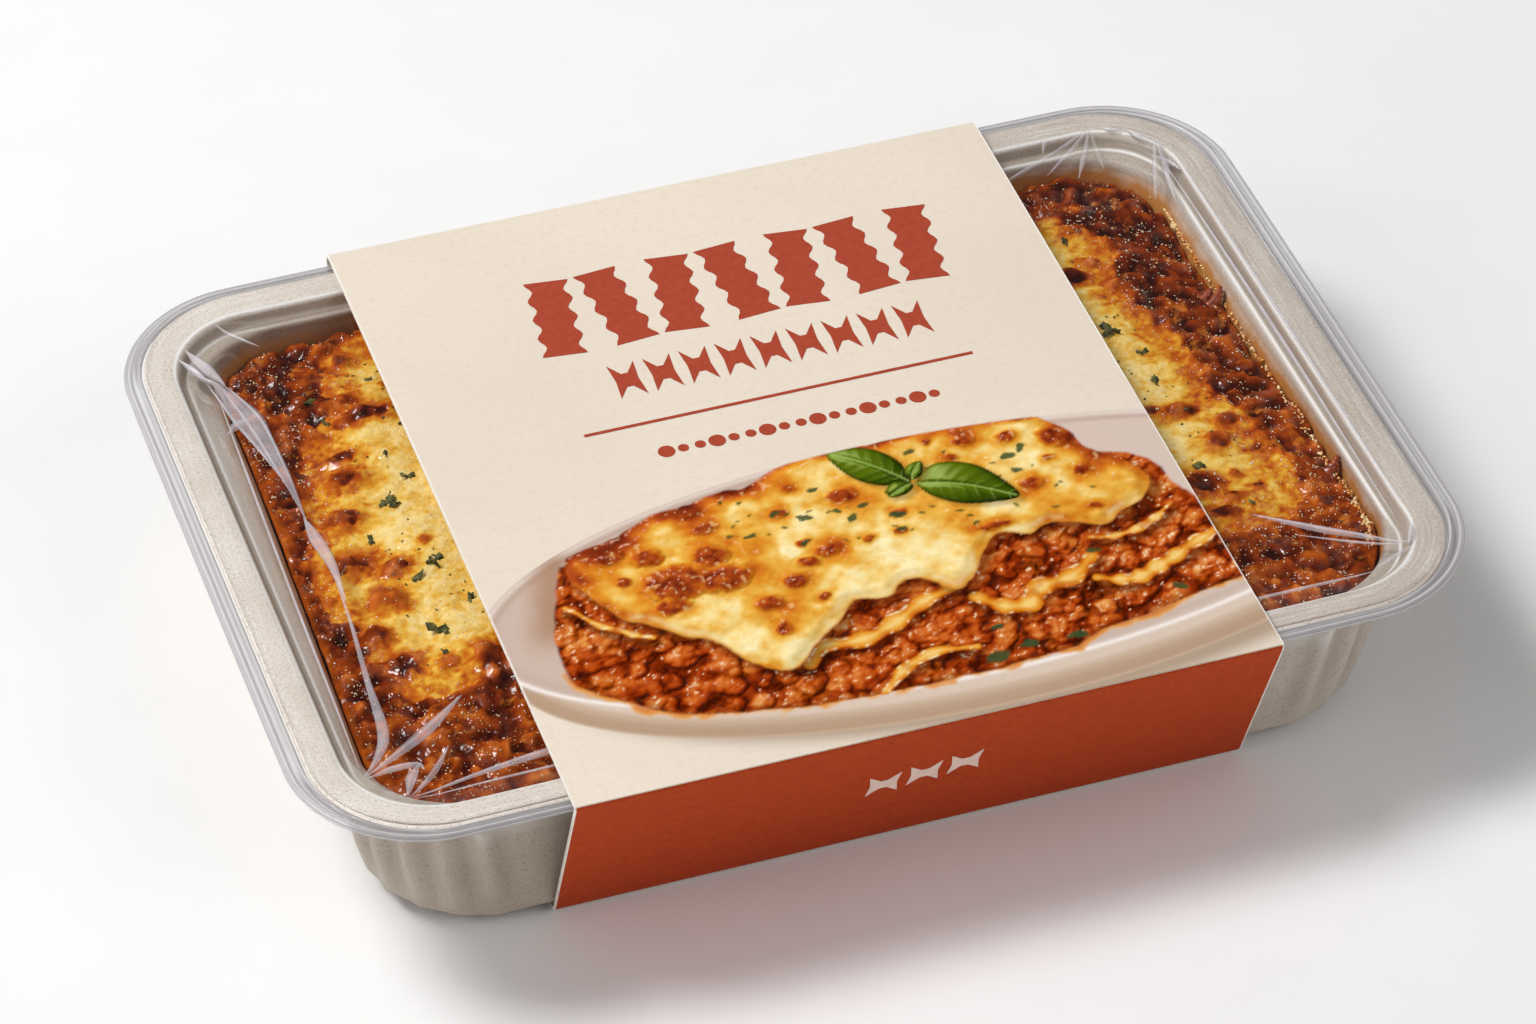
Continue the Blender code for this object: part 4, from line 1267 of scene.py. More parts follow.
PLATE_CENTRE, PLATE_HALF = (12.0, -30.4), (65.5, 25.6)
plate_in = ellipse_distance(px, py, PLATE_CENTRE, PLATE_HALF, -0.6)
well_in = ellipse_distance(px, py, (12.0, -31.2), (61.5, 22.6), -0.6)
body_in = ellipse_distance(px, py, (12.0, -37.0), (63.6, 25.1), -0.6)
cast_in = ellipse_distance(px, py, (15.0, -38.6), (63.0, 26.2), -1.0)

card_tone = tone(233, 219, 203)
picture = np.broadcast_to(card_tone, (*px.shape, 3)).copy()
shadow_share = smooth_step(-3.6, 2.4, cast_in) ** 1.3
picture = lay(picture, tone(166, 138, 112), 0.8 * shadow_share * (py < -30))
below_lip = np.clip((body_in - np.clip(plate_in, 0, None)) / 4.6, 0, 1)
PLATE_SIDE = [(0, (202, 176, 152)), (0.16, (184, 154, 128)), (0.45, (187, 157, 131)), (0.8, (204, 179, 156)), (1, (220, 199, 181))]
plate_body = shades(below_lip, PLATE_SIDE)
picture = lay(picture, plate_body, smooth_step(-0.15, 0.2, body_in) * (py < PLATE_CENTRE[1] + 2))
floor_light = 0.55 + 0.004 * (px - 10) - 0.12 * smooth_step(2, -9, well_in) * (px < 0)
plate_floor = shades(np.clip(floor_light, 0, 1), [(0, (192, 168, 154)), (0.5, (213, 190, 176)), (1, (222, 204, 193))])
picture = lay(picture, plate_floor, smooth_step(-0.15, 0.2, plate_in))
front_lip = smooth_step(-18, -40, py)
lip = np.exp(-(((plate_in - 0.55) / 0.42) ** 2))
picture = lay(picture, tone(196, 172, 158), 0.55 * np.exp(-(((plate_in - 2.2) / 0.9) ** 2)) * front_lip)
picture = lay(picture, tone(250, 240, 233), 0.95 * lip * front_lip)
picture = lay(picture, tone(236, 222, 213), 0.55 * lip * (1 - front_lip))
picture = lay(picture, tone(178, 150, 132), 0.5 * np.exp(-(((plate_in - 1.6) / 0.5) ** 2)) * (1 - front_lip))
ink = np.maximum(smooth_step(-0.15, 0.2, np.maximum(plate_in, np.where(py < -28, body_in, -9))), 0)
ink = np.maximum(ink, smooth_step(-3.4, 2.2, cast_in) * (py < -30))

# %% The slice's mince
SLICE_BODY = [
    (-38.5, -16), (-41.5, -24), (-43.6, -32), (-43.0, -40), (-37.5, -45.5), (-31.5, -50),
    (-25.0, -51.8), (-14, -54.0), (-2, -54.8), (10, -54.9), (22, -54.4), (28, -52.2),
    (37, -50.6), (48, -48.2), (54, -47), (54, -34), (49, -28), (44.5, -18), (20, -14), (-20, -14),
]
slice_in = outline_distance(wx, wy, SLICE_BODY, 4)
balls = smooth_step(6, -16, px) * smooth_step(-34, -42, py)
mx, my = px + 0.8 * swells(px, py, 3.2, 391, 2), py + 0.8 * swells(px, py, 3.2, 395, 2)
big = lumps(mx, my, 3.5, 401)
middle = lumps(mx, my, 1.9, 411)
small = lumps(px, py, 1.0, 421)
soft = swells(mx, my * 1.3, 2.6, 425, 3)
meat = (1.0 + 0.9 * balls) * big + (0.6 - 0.2 * balls) * middle + 0.1 * small
meat = meat + (0.85 - 0.6 * balls) * soft + 0.12 * swells(px, py, 0.8, 431, 2)
light, gloss = lit_from_upper_left(meat, CELL, 0.8)
pits = smooth_step(0.62, 0.1, 0.55 * big + 0.35 * middle + 0.3 * soft)
layers = np.cos((py - 0.26 * px) * 2 * np.pi / 8.5 + 2.0 * swells(px, py, 9, 437, 2))
level = 0.16 + 0.74 * light - 0.5 * pits + 0.16 * swells(px, py, 4, 441, 2) - 0.07 * layers
SAUCE_STOPS = [
    (0, (66, 16, 2)), (0.22, (108, 30, 3)), (0.45, (152, 50, 7)), (0.65, (188, 78, 18)), (0.82, (208, 104, 38)),
    (1, (230, 148, 82)),
]
sauce = shades(np.clip(level, 0, 1), SAUCE_STOPS)
orange = smooth_step(0.1, 0.6, swells(px, py, 3.4, 447, 2))
sauce = lay(sauce, shades(np.clip(level, 0, 1), [(0, (70, 22, 3)), (0.5, (196, 92, 14)), (1, (246, 180, 92))]), 0.45 * orange)
drips = 1.1 + 1.3 * swells(px, py, 2.4, 445, 2)
oil_in = slice_in + drips
oil_tone = shades(np.clip(oil_in / 2.2, 0, 1), [(0, (236, 184, 112)), (0.5, (222, 138, 36)), (1, (188, 84, 10))])
beside = smooth_step(-5.5, -0.5, slice_in) * smooth_step(-35, -39, px) * smooth_step(-35, -27, py)
picture = lay(picture, tone(168, 124, 92), 0.75 * beside * (plate_in > 0))
picture = lay(picture, oil_tone, 0.9 * smooth_step(0, 0.9, oil_in) * smooth_step(-34, -40, py))
picture = lay(picture, sauce, smooth_step(-0.2, 0.35, slice_in))
glints = smooth_step(0.5, 0.9, gloss) * smooth_step(0.05, 0.5, swells(px, py, 0.8, 449) + 0.25)
picture = lay(picture, tone(255, 222, 180), 0.9 * glints * smooth_step(0, 0.5, slice_in))
sparks = smooth_step(0.58, 0.8, swells(px, py, 0.55, 451)) * smooth_step(0.45, 0.8, level)
picture = lay(picture, tone(255, 226, 176), 0.5 * sparks * smooth_step(0, 0.5, slice_in))
under = smooth_step(2.0, 0, slice_in) * (slice_in > 0) * smooth_step(-38, -46, py)
picture = lay(picture, tone(60, 18, 4), 0.4 * under)

# %% The slice's pasta
PASTA = [
    ([(-40.0, -24.6), (-36.5, -29.4), (-33.0, -32.6), (-30.4, -34.0)], 0.6, 3),
    ([(-12.0, -46.2), (-8.6, -43.2), (-3.6, -43.6), (1.6, -41.6), (6.8, -38.8), (12.2, -37.0)], 1.45, 5),
    ([(14.0, -40.2), (17.0, -43.2), (20.6, -43.8), (23.2, -41.0), (27.8, -40.4), (32.0, -37.4)], 1.75, 5),
    ([(31.0, -41.8), (35.4, -43.6), (40.0, -42.2), (45.0, -40.0), (52.0, -36.4)], 1.3, 6),
    ([(-4.0, -54.4), (-0.4, -51.2), (4.8, -49.0), (10.6, -49.8)], 0.95, 3),
    ([(33.4, -33.6), (38.0, -34.4), (42.6, -33.0), (46.2, -30.4)], 0.7, 4),
]
for line, width, waves in PASTA:
    away, along = line_distance(mx * 0.3 + px * 0.7, my * 0.3 + py * 0.7, line, 6)
    ends = 0.45 + 0.55 * np.sin(np.pi * np.clip(along, 0.02, 0.98)) ** 0.6
    ruffle = np.cos(2 * np.pi * waves * along)
    wide = width * ends * (1.08 + 0.13 * ruffle) + 0.16 * swells(px, py, 1.9, 455)
    edge = wide - away
    below, _ = line_distance(px, py + 1.3, line, 6)
    picture = lay(picture, tone(40, 10, 3), 0.65 * smooth_step(width + 1.0, width * 0.3, below) * (slice_in > 0))
    share = np.clip(edge / width, 0, 1)
    folds = 0.14 * ruffle + 0.16 * swells(px, py, 1.3, 457, 2)
    pasta_stops = [(0, (150, 54, 8)), (0.14, (200, 100, 16)), (0.4, (226, 142, 36)), (0.75, (238, 178, 78)), (1, (246, 204, 120))]
    picture = lay(picture, shades(np.clip(share + folds, 0, 1), pasta_stops), smooth_step(-0.1, 0.2, edge))
    dots_ = np.exp(-(((edge - 0.35) / 0.2) ** 2)) * smooth_step(0.2, 0.6, swells(px, py, 0.7, 461))
    picture = lay(picture, tone(255, 232, 176), 0.85 * dots_ * (edge > 0))
    stained = smooth_step(0.25, 0.6, swells(px, py, 2.6, 463, 2)) * smooth_step(0, 0.4, edge)
    picture = lay(picture, tone(188, 84, 18), (0.5 + 0.3 * (line[0][0] < -35)) * stained)

# %% The slice's cheese
CHEESE = [
    (-37.2, -14.5), (-33.5, -13.4), (-29.0, -12.6), (-23.0, -9.6), (-17.5, -9.2), (-12.0, -7.6), (-9.0, -8.2),
    (-3.5, -5.6), (1.5, -3.6), (6.0, -3.2), (10.0, -4.8), (16.0, -4.0), (22.0, -3.6), (28.0, -4.6), (33.0, -4.4),
    (35.6, -7.6), (38.4, -11.2), (39.6, -15.6), (43.2, -19.0), (45.6, -24.2), (43.2, -28.0), (39.4, -29.6),
    (36.6, -31.6), (33.4, -30.6), (29.0, -28.8), (25.4, -30.2), (21.6, -28.6), (18.2, -31.6), (15.0, -36.0),
    (12.0, -37.8), (9.4, -35.0), (6.2, -33.8), (2.4, -36.4), (-2.0, -35.6), (-5.4, -39.0), (-10.4, -43.0),
    (-13.4, -45.8), (-16.8, -45.2), (-20.2, -41.8), (-23.0, -37.2), (-26.6, -35.0), (-30.2, -31.4),
    (-32.8, -29.6), (-35.2, -25.2), (-37.2, -21.0), (-38.0, -17.4),
]
cheese_in = outline_distance(wx, wy, CHEESE, 4)
shadow_in = outline_distance(px - 0.5, py + 1.5, CHEESE, 3)
picture = lay(picture, tone(46, 13, 4), 0.6 * smooth_step(-1.6, 0.6, shadow_in) * (slice_in > 0) * (py < -16))
BROWNED = [
    (-31.5, -16.2, 2.8, 2.2), (-26.4, -18.2, 3.0, 2.2), (-18.0, -20.6, 3.4, 3.0), (-24.0, -24.2, 6.6, 4.4),
    (-17.6, -25.4, 5.4, 3.6), (-26.0, -28.8, 3.2, 2.0), (-18.4, -10.6, 2.6, 1.5), (-10.2, -8.0, 2.4, 1.5),
    (-17.0, -14.6, 2.4, 1.4), (-6.2, -15.0, 1.5, 1.2), (-3.0, -10.4, 1.3, 1.1), (3.4, -14.2, 2.7, 1.9),
    (-2.0, -24.4, 2.6, 1.8), (-5.4, -26.0, 2.0, 1.2), (-8.4, -29.2, 2.3, 2.0), (-13.4, -32.4, 2.6, 2.0),
    (-13.0, -38.0, 1.5, 2.0), (-5.0, -21.8, 1.4, 0.9), (3.8, -24.0, 1.2, 0.9), (8.6, -24.0, 1.2, 0.9),
    (4.2, -3.8, 3.4, 1.2), (13.6, -4.4, 2.4, 1.1), (18.6, -6.8, 1.0, 0.8), (23.4, -8.4, 2.2, 1.5),
    (29.4, -9.4, 2.0, 1.3), (32.6, -5.6, 3.0, 1.1), (36.0, -11.4, 3.0, 2.6), (20.6, -11.4, 1.4, 1.0),
    (29.4, -20.0, 2.3, 1.6), (37.2, -19.6, 1.9, 1.5), (33.6, -15.6, 1.2, 0.9), (21.4, -27.0, 3.4, 0.9),
    (-31.0, -22.0, 1.5, 1.4), (9.8, -20.2, 1.4, 1.1), (36.4, -27.4, 1.4, 0.9), (-5.4, -33.4, 1.3, 1.0),
]
browned = np.zeros_like(px)
halo = np.zeros_like(px)
blisters = np.zeros_like(px)
bx, by = px + 0.55 * swells(px, py, 1.7, 471, 3), py + 0.5 * swells(px, py, 1.7, 475, 3)
for centre_x, centre_y, reach_x, reach_y in BROWNED:
    away = np.hypot((bx - centre_x) / (0.86 * reach_x), (by - centre_y) / (0.86 * reach_y))
    browned = np.maximum(browned, 1 - smooth_step(0.5, 1.45, away))
    halo = np.maximum(halo, 1 - smooth_step(0.6, 2.6, away))
    blisters = np.maximum(blisters, np.sqrt(np.clip(1 - away**2, 0, 1)) * min(reach_x, reach_y))
burnt_lumps = lumps(bx, by, 1.5, 477)
crusty_edge = smooth_step(4.6, 0.0, cheese_in + 1.6 * swells(px, py, 3.2, 479, 2))
upper = smooth_step(-0.30, 0.1, (py + 24 - 0.12 * px) / 30)
warmth = 0.2 + 0.36 * swells(px, py, 6.0, 481, 3) + 0.16 * swells(px, py, 1.8, 483, 3)
warmth += 0.4 * crusty_edge * upper + 0.08 * smooth_step(2.4, 0, cheese_in) + 0.24 * halo
toasty = 0.76 * browned + 0.2 * browned * (0.55 - burnt_lumps) + 0.14 * swells(px, py, 0.9, 485, 2)
level = np.clip(np.maximum(warmth, toasty), 0, 1)
melt = 0.5 * swells(px, py, 4.0, 491, 2) + 0.11 * swells(px, py, 1.1, 493, 2)
strings = 1 - np.abs(swells(bx * 0.7 + by * 0.5, by * 1.2, 1.6, 497, 2))
melt = melt + 0.7 * blisters + 1.5 * smooth_step(0, 2.4, cheese_in) + 0.16 * strings
melt = melt + 0.55 * burnt_lumps * browned
light, gloss = lit_from_upper_left(melt, CELL, 0.75)
MELTED_STOPS = [
    (0.0, (254, 236, 180)), (0.14, (248, 214, 132)), (0.28, (236, 178, 70)), (0.42, (222, 142, 38)),
    (0.55, (210, 114, 30)), (0.7, (178, 76, 24)), (0.86, (136, 48, 18)), (1.0, (96, 28, 12)),
]
cheese = shades(level, MELTED_STOPS)
shade = 0.6 + 0.53 * light
cheese = cheese * np.stack((shade**0.9, shade**1.15, shade**1.7), axis=-1)
cheese_share = smooth_step(-0.15, 0.2, cheese_in)
picture = lay(picture, cheese, cheese_share)
shine = smooth_step(0.6, 0.95, gloss) * cheese_share
picture = lay(picture, tone(236, 168, 142), 0.8 * shine * smooth_step(0.5, 0.62, level))
picture = lay(picture, tone(255, 244, 214), 0.6 * shine * smooth_step(0.45, 0.3, level))
sparks = smooth_step(0.56, 0.8, swells(px, py, 0.6, 501)) * cheese_share * smooth_step(0.3, 0.55, level)
picture = lay(picture, tone(255, 216, 150), 0.4 * sparks)
pale_lip = np.exp(-(((cheese_in - 1.1) / 0.6) ** 2)) * smooth_step(-24, -30, py) * smooth_step(0.55, 0.35, level)
picture = lay(picture, tone(255, 236, 184), 0.4 * pale_lip * smooth_step(-0.3, 0.4, swells(px, py, 3, 503)))
thin_edge = np.exp(-(((cheese_in - 0.15) / 0.22) ** 2)) * smooth_step(-20, -28, py)
picture = lay(picture, tone(206, 128, 44), 0.6 * thin_edge)

# %% Flecks and leaves
HERB_FLECKS = [
    (-6.6, -15.0, 0.9, 30), (-3.0, -17.0, 1.1, -20), (-11.4, -18.4, 0.8, 15), (-14.0, -17.4, 0.6, 5),
    (3.4, -19.2, 1.0, 40), (9.4, -20.6, 1.1, -10), (9.0, -23.6, 0.8, 20), (28.4, -13.4, 1.3, 10),
    (30.6, -12.2, 0.9, 60), (28.4, -16.9, 0.7, 0), (-0.2, -11.6, 0.7, 20), (1.6, -17.4, 0.7, -35),
    (5.4, -17.0, 0.8, 10), (37.4, -23.4, 0.4, 0), (15.6, -8.2, 0.8, 20), (-4.6, -22.0, 0.6, 0),
    (14.8, -46.9, 0.8, 10), (32.6, -36.4, 0.8, 0), (41.4, -47.2, 1.2, -30), (12.6, -52.6, 1.8, 15),
    (17.6, -51.6, 1.4, 5), (24.4, -51.8, 1.5, -5),
]
speck_rng = np.random.default_rng(23)
for _ in range(46):
    spot = (speck_rng.uniform(-14, 34), speck_rng.uniform(-26, -10))
    HERB_FLECKS.append((*spot, speck_rng.uniform(0.22, 0.45), speck_rng.uniform(-90, 90)))
for centre_x, centre_y, reach, angle in HERB_FLECKS:
    away = -ellipse_distance(bx, by, (centre_x, centre_y), (reach, reach * 0.5), angle)
    fleck = tone(52, 78, 44) if reach > 0.5 else tone(84, 84, 30)
    picture = lay(picture, fleck, 0.92 * smooth_step(0.22, -0.1, away + 0.12 * swells(px, py, 0.6, 505)))
LEAVES = [
    ([(13.6, -14.6), (10.0, -14.2), (6.8, -12.0), (4.8, -8.2), (4.4, -5.0), (8.0, -4.8), (11.4, -6.6), (13.6, -10.2)],
     [(13.4, -14.2), (11.2, -11.2), (8.2, -8.0), (4.8, -5.2)]),
    ([(14.0, -15.0), (15.4, -18.2), (18.6, -21.0), (22.6, -22.2), (27.0, -22.2), (26.2, -18.4), (23.4, -13.8), (19.2, -11.8), (16.2, -12.6)],
     [(14.2, -15.0), (17.6, -16.0), (21.6, -18.0), (26.6, -21.8)]),
    ([(13.4, -14.4), (11.2, -13.8), (9.6, -15.2), (9.8, -16.8), (12.0, -16.8), (13.6, -15.6)],
     [(13.4, -14.9), (11.8, -15.4), (10.0, -16.4)]),
    ([(13.8, -14.2), (13.4, -12.4), (14.4, -10.9), (16.4, -10.6), (16.2, -12.4), (15.2, -13.8)],
     [(13.9, -14.2), (14.6, -12.6), (16.0, -11.0)]),
]
for outline, vein in LEAVES:
    cast = outline_distance(px - 0.5, py + 0.9, outline, 5)
    picture = lay(picture, tone(120, 80, 20), 0.5 * smooth_step(-0.7, 0.5, cast) * cheese_share)
    leaf_in = outline_distance(px, py, outline, 6)
    away, along = line_distance(px, py, vein, 6)
    ribs = np.cos((along * 7.5 - away * 0.32) * 2 * np.pi)
    height = 1.5 * np.sqrt(np.clip(leaf_in, 0, None)) + 0.035 * ribs * smooth_step(0.1, 1.2, away)
    height -= 0.7 * np.exp(-((away / 0.5) ** 2))
    light, gloss = lit_from_upper_left(height, CELL, 1.0)
    level = np.clip(-0.12 + 1.0 * light - 0.2 * smooth_step(0.6, 0.0, leaf_in), 0, 1)
    green = shades(level, [(0, (22, 34, 2)), (0.35, (54, 76, 4)), (0.65, (92, 112, 12)), (1, (158, 176, 66))])
    picture = lay(picture, green, smooth_step(-0.12, 0.15, leaf_in))
    side_veins = smooth_step(0.86, 0.99, ribs) * smooth_step(0.1, 0.5, leaf_in) * smooth_step(2.6, 0.6, away)
    picture = lay(picture, tone(128, 162, 62), 0.45 * side_veins)
    sheen = smooth_step(0.75, 1.0, light) * smooth_step(0.3, 0.9, leaf_in) * (leaf_in > 0)
    picture = lay(picture, tone(186, 210, 128), 0.35 * sheen)
    picture = lay(picture, tone(168, 196, 96), 0.75 * np.exp(-((away / 0.16) ** 2)) * (leaf_in > 0.15))
edge_share = smooth_step(SLEEVE_HALF_LENGTH - 0.3, SLEEVE_HALF_LENGTH - 0.12, np.abs(px))
picture = lay(picture, tone(250, 245, 236), edge_share)
ink = np.maximum(ink, edge_share)
print("picture cells:", columns * rows)

# %% The picture's sheet
bpy.ops.object.select_all(action="DESELECT")
bpy.ops.mesh.primitive_grid_add(x_subdivisions=columns, y_subdivisions=rows, size=2.0)
picture_sheet = bpy.context.object
picture_sheet.name = picture_sheet.data.name = "print_picture"
unit = places(picture_sheet).astype(np.float64)
column_of = np.rint((unit[:, 0] + 1) / 2 * columns).astype(int)
row_of = np.rint((unit[:, 1] + 1) / 2 * rows).astype(int)
move_to(picture_sheet, on_sleeve(across[column_of], ahead[row_of], 0.05))
layer = picture_sheet.data.attributes.new("ink_colour", "FLOAT_COLOR", "POINT")
flat = np.ones((len(unit), 4), dtype=np.float32)
flat[:, :3] = np.clip(picture, 0, 1)[row_of, column_of]
layer.data.foreach_set("color", flat.ravel())
set_values(picture_sheet, "ink", ink[row_of, column_of])
only(picture_sheet)
bpy.ops.object.mode_set(mode="EDIT")
bpy.ops.mesh.select_all(action="DESELECT")
bpy.ops.mesh.select_mode(type="EDGE")
bpy.ops.mesh.select_non_manifold()
bpy.ops.mesh.extrude_region_move(TRANSFORM_OT_translate={"value": (0, 0, -0.04 * MM)})
bpy.ops.mesh.edge_face_add()
bpy.ops.mesh.select_all(action="SELECT")
bpy.ops.mesh.normals_make_consistent(inside=False)
bpy.ops.object.mode_set(mode="OBJECT")
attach(picture_sheet, "root")

# %% [markdown]
# ## The card sleeve
#
# The sleeve is a plain band of card, so the frame's own solid stays and gets a card finish:
# warm cream with a faint grain, a russet front panel that ends at the fold, and pale cut
# edges. The places of the panel and the edges are worked out in the sleeve's own turned axes.
# The same cream, worked out in the same way, shows through wherever a print has no ink.

# %% Sleeve finish
SLEEVE_HALF_TOP = 63.05 * MM
SLEEVE_HALF_BASE = 50.0 * MM
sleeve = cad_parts["sleeve"]
lean = math.atan2(SLEEVE_HALF_TOP - SLEEVE_HALF_BASE, sleeve_high.z)


def card_cream(tree):
    """The cream of the card, with its fibres, and the fibres themselves."""
    fibre = noise(tree, 900.0, 4.0, 0.6)
    shade = noise(tree, 25.0, 2.0)
    cream = ramp(tree, shade, [(0.3, paint(231, 217, 200)), (0.7, paint(237, 224, 207))])
    dark = ramp(tree, fibre, [(0.3, (0.35,) * 3 + (1,)), (0.5, (0, 0, 0, 1))])
    return mix_colour(tree, dark, cream, paint(219, 203, 184)), fibre


material, tree, shader = new_finish("printed_card", Roughness=0.68, Specular_IOR_Level=0.15)
coordinates = add_node(tree, "TexCoord").outputs["Object"]
own = add_node(
    tree,
    "Mapping",
    {"Vector": coordinates, "Location": (-SLEEVE_SHIFT, 0, 0), "Rotation": (0, 0, -SLEEVE_TURN)},
)
axes = add_node(tree, "SeparateXYZ", {0: own.outputs[0]}).outputs
card_colour, fibre = card_cream(tree)
past = maths(tree, "ADD", maths(tree, "MULTIPLY", axes["Y"], -math.cos(lean)), maths(tree, "MULTIPLY", axes["Z"], -math.sin(lean)))
panel = maths(tree, "GREATER_THAN", past, SLEEVE_HALF_BASE * math.cos(lean) - 0.3 * MM)
ink_red = ramp(tree, fibre, [(0.3, paint(176, 60, 18)), (0.7, paint(192, 72, 24))])
card_colour = mix_colour(tree, panel, card_colour, ink_red)
cut = maths(tree, "GREATER_THAN", maths(tree, "ABSOLUTE", axes["X"]), (SLEEVE_HALF_LENGTH - 0.22) * MM)
card_colour = mix_colour(tree, cut, card_colour, paint(246, 240, 230))
tree.links.new(card_colour, shader.inputs["Base Color"])
bump(tree, shader, fibre, 0.12, 0.0002)
sleeve.data.materials.clear()
sleeve.data.materials.append(material)

# %% The picture's finish
material, tree, shader = new_finish("picture_ink", Roughness=0.6, Specular_IOR_Level=0.0)
card_colour, fibre = card_cream(tree)
drawn = add_node(tree, "Attribute", attribute_name="ink_colour").outputs["Color"]
share = add_node(tree, "Attribute", attribute_name="ink").outputs["Fac"]
worn = mix_colour(tree, ramp(tree, fibre, [(0.3, (0.06,) * 3 + (1,)), (0.5, (0, 0, 0, 1))]), drawn, paint(150, 120, 100))
tree.links.new(mix_colour(tree, share, card_colour, worn), shader.inputs["Base Color"])
bump(tree, shader, fibre, 0.12, 0.0002)
picture_sheet.data.materials.append(material)

# %% [markdown]
# ## The lines of print
#
# Above the picture stand rows of plain russet shapes: ruffled pasta sheets in the top row,
# small bow ties in the second, a thin rule, and a row of dots. They are flat curves, filled
# and given a hair's thickness, then made into meshes.

# %% Rows of print


def ruffled_sheet(centre_x, centre_y, width, height, waves, turn=0.0):
    """The outline of an upright pasta sheet with ruffled long sides."""
    found = []
    for side in (1, -1):
        for step in range(waves * 6 + 1):
            share = step / (waves * 6)
            y = (share - 0.5) * height * side
            x = side * (width / 2 + 0.09 * width * math.cos(2 * math.pi * waves * share))
            found.append((x, y))
    c, s = math.cos(turn), math.sin(turn)
    return [(centre_x + c * x - s * y, centre_y + s * x + c * y) for x, y in found]


def bow_tie(centre_x, centre_y, width, height):
    """The outline of a bow tie of pasta."""
    corners = [(-0.5, -0.5), (-0.12, -0.2), (0.12, -0.2), (0.5, -0.5), (0.42, 0), (0.5, 0.5), (0.12, 0.2),
               (-0.12, 0.2), (-0.5, 0.5), (-0.42, 0)]
    return [(centre_x + x * width, centre_y + y * height) for x, y in corners]


def disc(centre_x, centre_y, radius, sides=20):
    """The outline of a dot."""
    turns = [2 * math.pi * k / sides for k in range(sides)]
    return [(centre_x + radius * math.cos(t), centre_y + radius * math.sin(t)) for t in turns]


def bar(left, right, low, high):
    """The outline of a straight bar."""
    return [(left, low), (right, low), (right, high), (left, high)]


def print_shapes(name, outlines, lift=0.045, thick=0.03):
    """Fills outlines as one thin piece of ink on the card."""
    curve = bpy.data.curves.new(name, "CURVE")
    curve.dimensions = "2D"
    curve.fill_mode = "BOTH"
    curve.extrude = thick / 2
    for outline in outlines:
        spline = curve.splines.new("POLY")
        spline.points.add(len(outline) - 1)
        for point, (x, y) in zip(spline.points, outline):
            point.co = (x, y, 0.0, 1.0)
        spline.use_cyclic_u = True
    drawn = bpy.data.objects.new(name, curve)
    bpy.context.scene.collection.objects.link(drawn)
    only(drawn)
    bpy.ops.object.convert(target="MESH")
    piece = bpy.context.object
    spots = places(piece).astype(np.float64)
    placed = on_sleeve(spots[:, 0], spots[:, 1], 0.0)
    placed[:, 2] += (lift + spots[:, 2]) * MM
    move_to(piece, placed)
    only(piece)
    bpy.ops.object.mode_set(mode="EDIT")
    bpy.ops.mesh.select_all(action="SELECT")
    bpy.ops.mesh.remove_doubles(threshold=1e-7)
    bpy.ops.mesh.normals_make_consistent(inside=False)
    bpy.ops.object.mode_set(mode="OBJECT")
    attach(piece, "root")
    print(name, "has", len(piece.data.polygons), "faces")
    return piece


TITLE_MIDDLE, TITLE_WIDTH, TITLE_HIGH = (4.6, 36.4), 64.4, 17.2
title = [
    ruffled_sheet(TITLE_MIDDLE[0] + (k - 3) * TITLE_WIDTH / 7, TITLE_MIDDLE[1], 5.6, TITLE_HIGH, 4, math.radians((-7, 5)[k % 2]))
    for k in range(7)
]
second = [bow_tie(4.3 + (k - 4) * 5.4, 19.7, 4.0, 7.6) for k in range(9)]
rule = [bar(-26.8, 31.5, 9.4, 10.0)]
dots = [disc(3.2 + (k - 8) * 2.5, 2.8, 0.8 if k % 3 else 1.25) for k in range(17)]
print_pieces = [
    print_shapes("print_ruffled_row", title),
    print_shapes("print_bow_row", second),
    print_shapes("print_rule", rule),
    print_shapes("print_dots", dots),
]


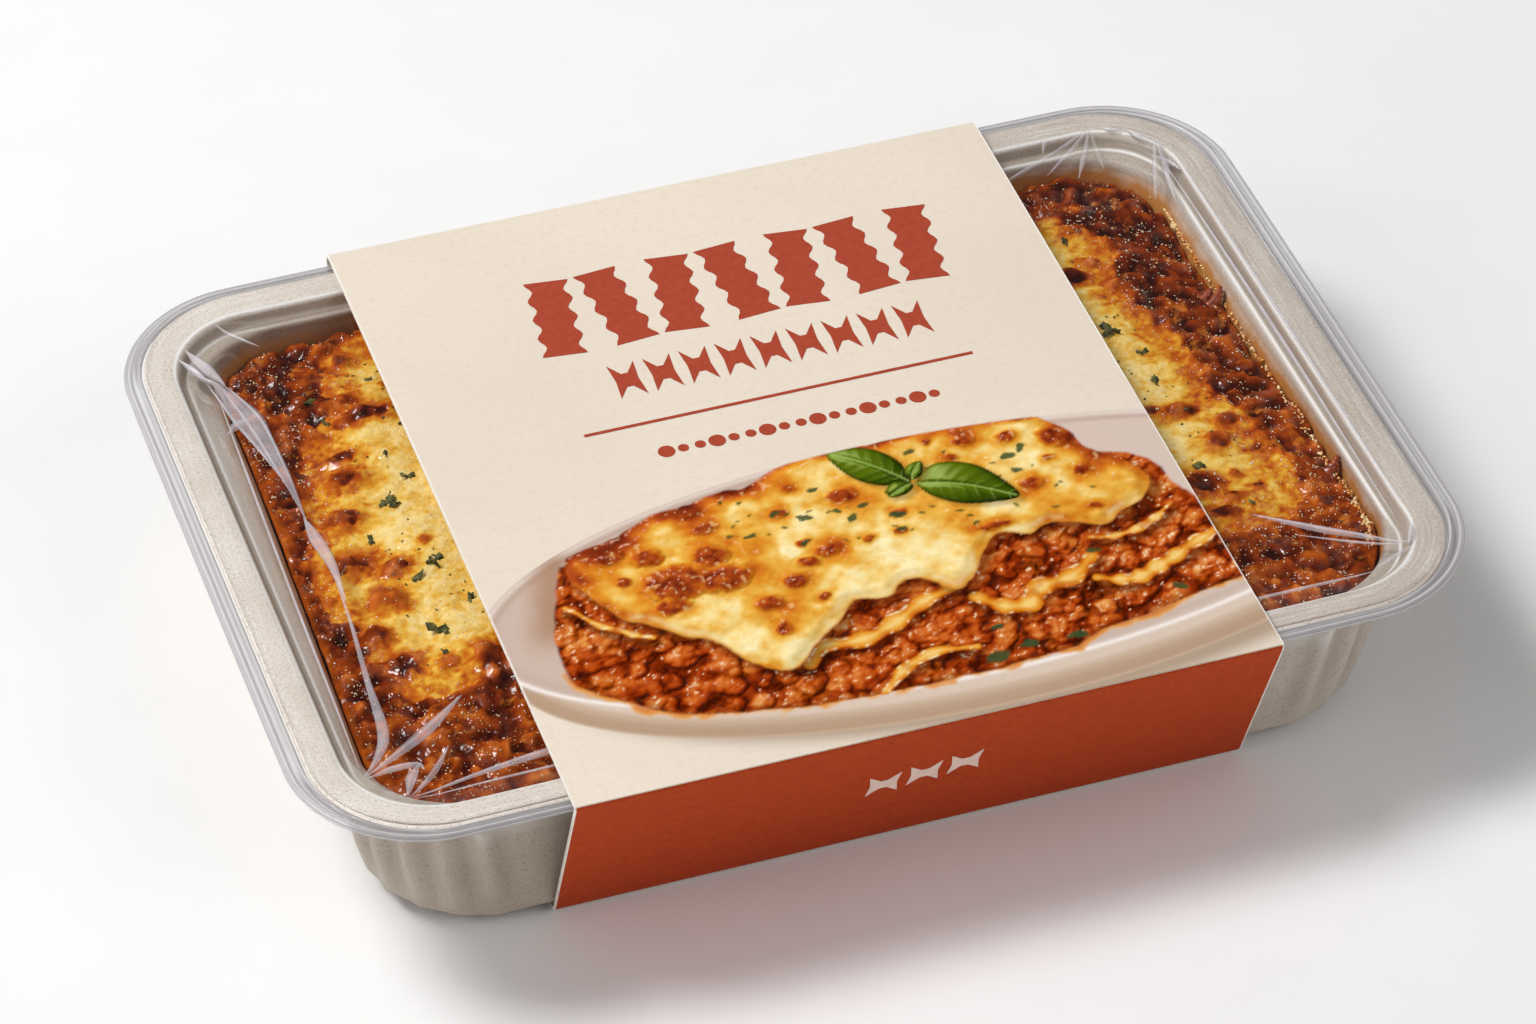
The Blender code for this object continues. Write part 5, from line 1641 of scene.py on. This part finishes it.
def on_panel(spots, lift):
    """Places on the slanted front panel: along it, and height above the table."""
    along, high = spots[:, 0], spots[:, 1]
    back = -(SLEEVE_HALF_BASE / MM + (SLEEVE_HALF_TOP - SLEEVE_HALF_BASE) / sleeve_high.z * high)
    placed = on_sleeve(along, back - lift, 0.0)
    placed[:, 2] = high * MM
    return placed


def print_on_panel(name, outlines, lift=0.06, thick=0.03):
    """Fills outlines as one thin piece of ink on the front panel."""
    points, faces = [], []
    for outline in outlines:
        flat = np.array(outline, dtype=float)
        start, count = len(points), len(flat)
        points.extend(on_panel(flat, lift).tolist())
        points.extend(on_panel(flat, lift - thick).tolist())
        faces.append(tuple(range(start, start + count)))
        faces.append(tuple(range(start + count, start + 2 * count)))
        for k in range(count):
            after = (k + 1) % count
            faces.append((start + k, start + count + k, start + count + after, start + after))
    mesh = bpy.data.meshes.new(name)
    mesh.from_pydata(points, [], faces)
    piece = bpy.data.objects.new(name, mesh)
    bpy.context.scene.collection.objects.link(piece)
    only(piece)
    bpy.ops.object.mode_set(mode="EDIT")
    bpy.ops.mesh.select_all(action="SELECT")
    bpy.ops.mesh.normals_make_consistent(inside=False)
    bpy.ops.object.mode_set(mode="OBJECT")
    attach(piece, "root")
    return piece


mark = [bow_tie(x, 17.4 + 0.1 * x, 4.6, 5.4) for x in (-5.2, 0.6, 6.4)]
panel_row = print_on_panel("print_panel_row", mark)
material, tree, shader = new_finish("cream_ink", Roughness=0.6, Specular_IOR_Level=0.15)
fibre = noise(tree, 900.0, 4.0, 0.6)
tree.links.new(ramp(tree, fibre, [(0.3, paint(236, 206, 190)), (0.7, paint(250, 226, 212))]), shader.inputs["Base Color"])
bump(tree, shader, fibre, 0.12, 0.0002)
panel_row.data.materials.append(material)
material, tree, shader = new_finish("russet_ink", Roughness=0.6, Specular_IOR_Level=0.3)
fibre = noise(tree, 900.0, 4.0, 0.6)
tree.links.new(ramp(tree, fibre, [(0.3, paint(166, 62, 38)), (0.7, paint(178, 72, 45))]), shader.inputs["Base Color"])
bump(tree, shader, fibre, 0.12, 0.0002)
for piece in print_pieces:
    piece.data.materials.append(material)
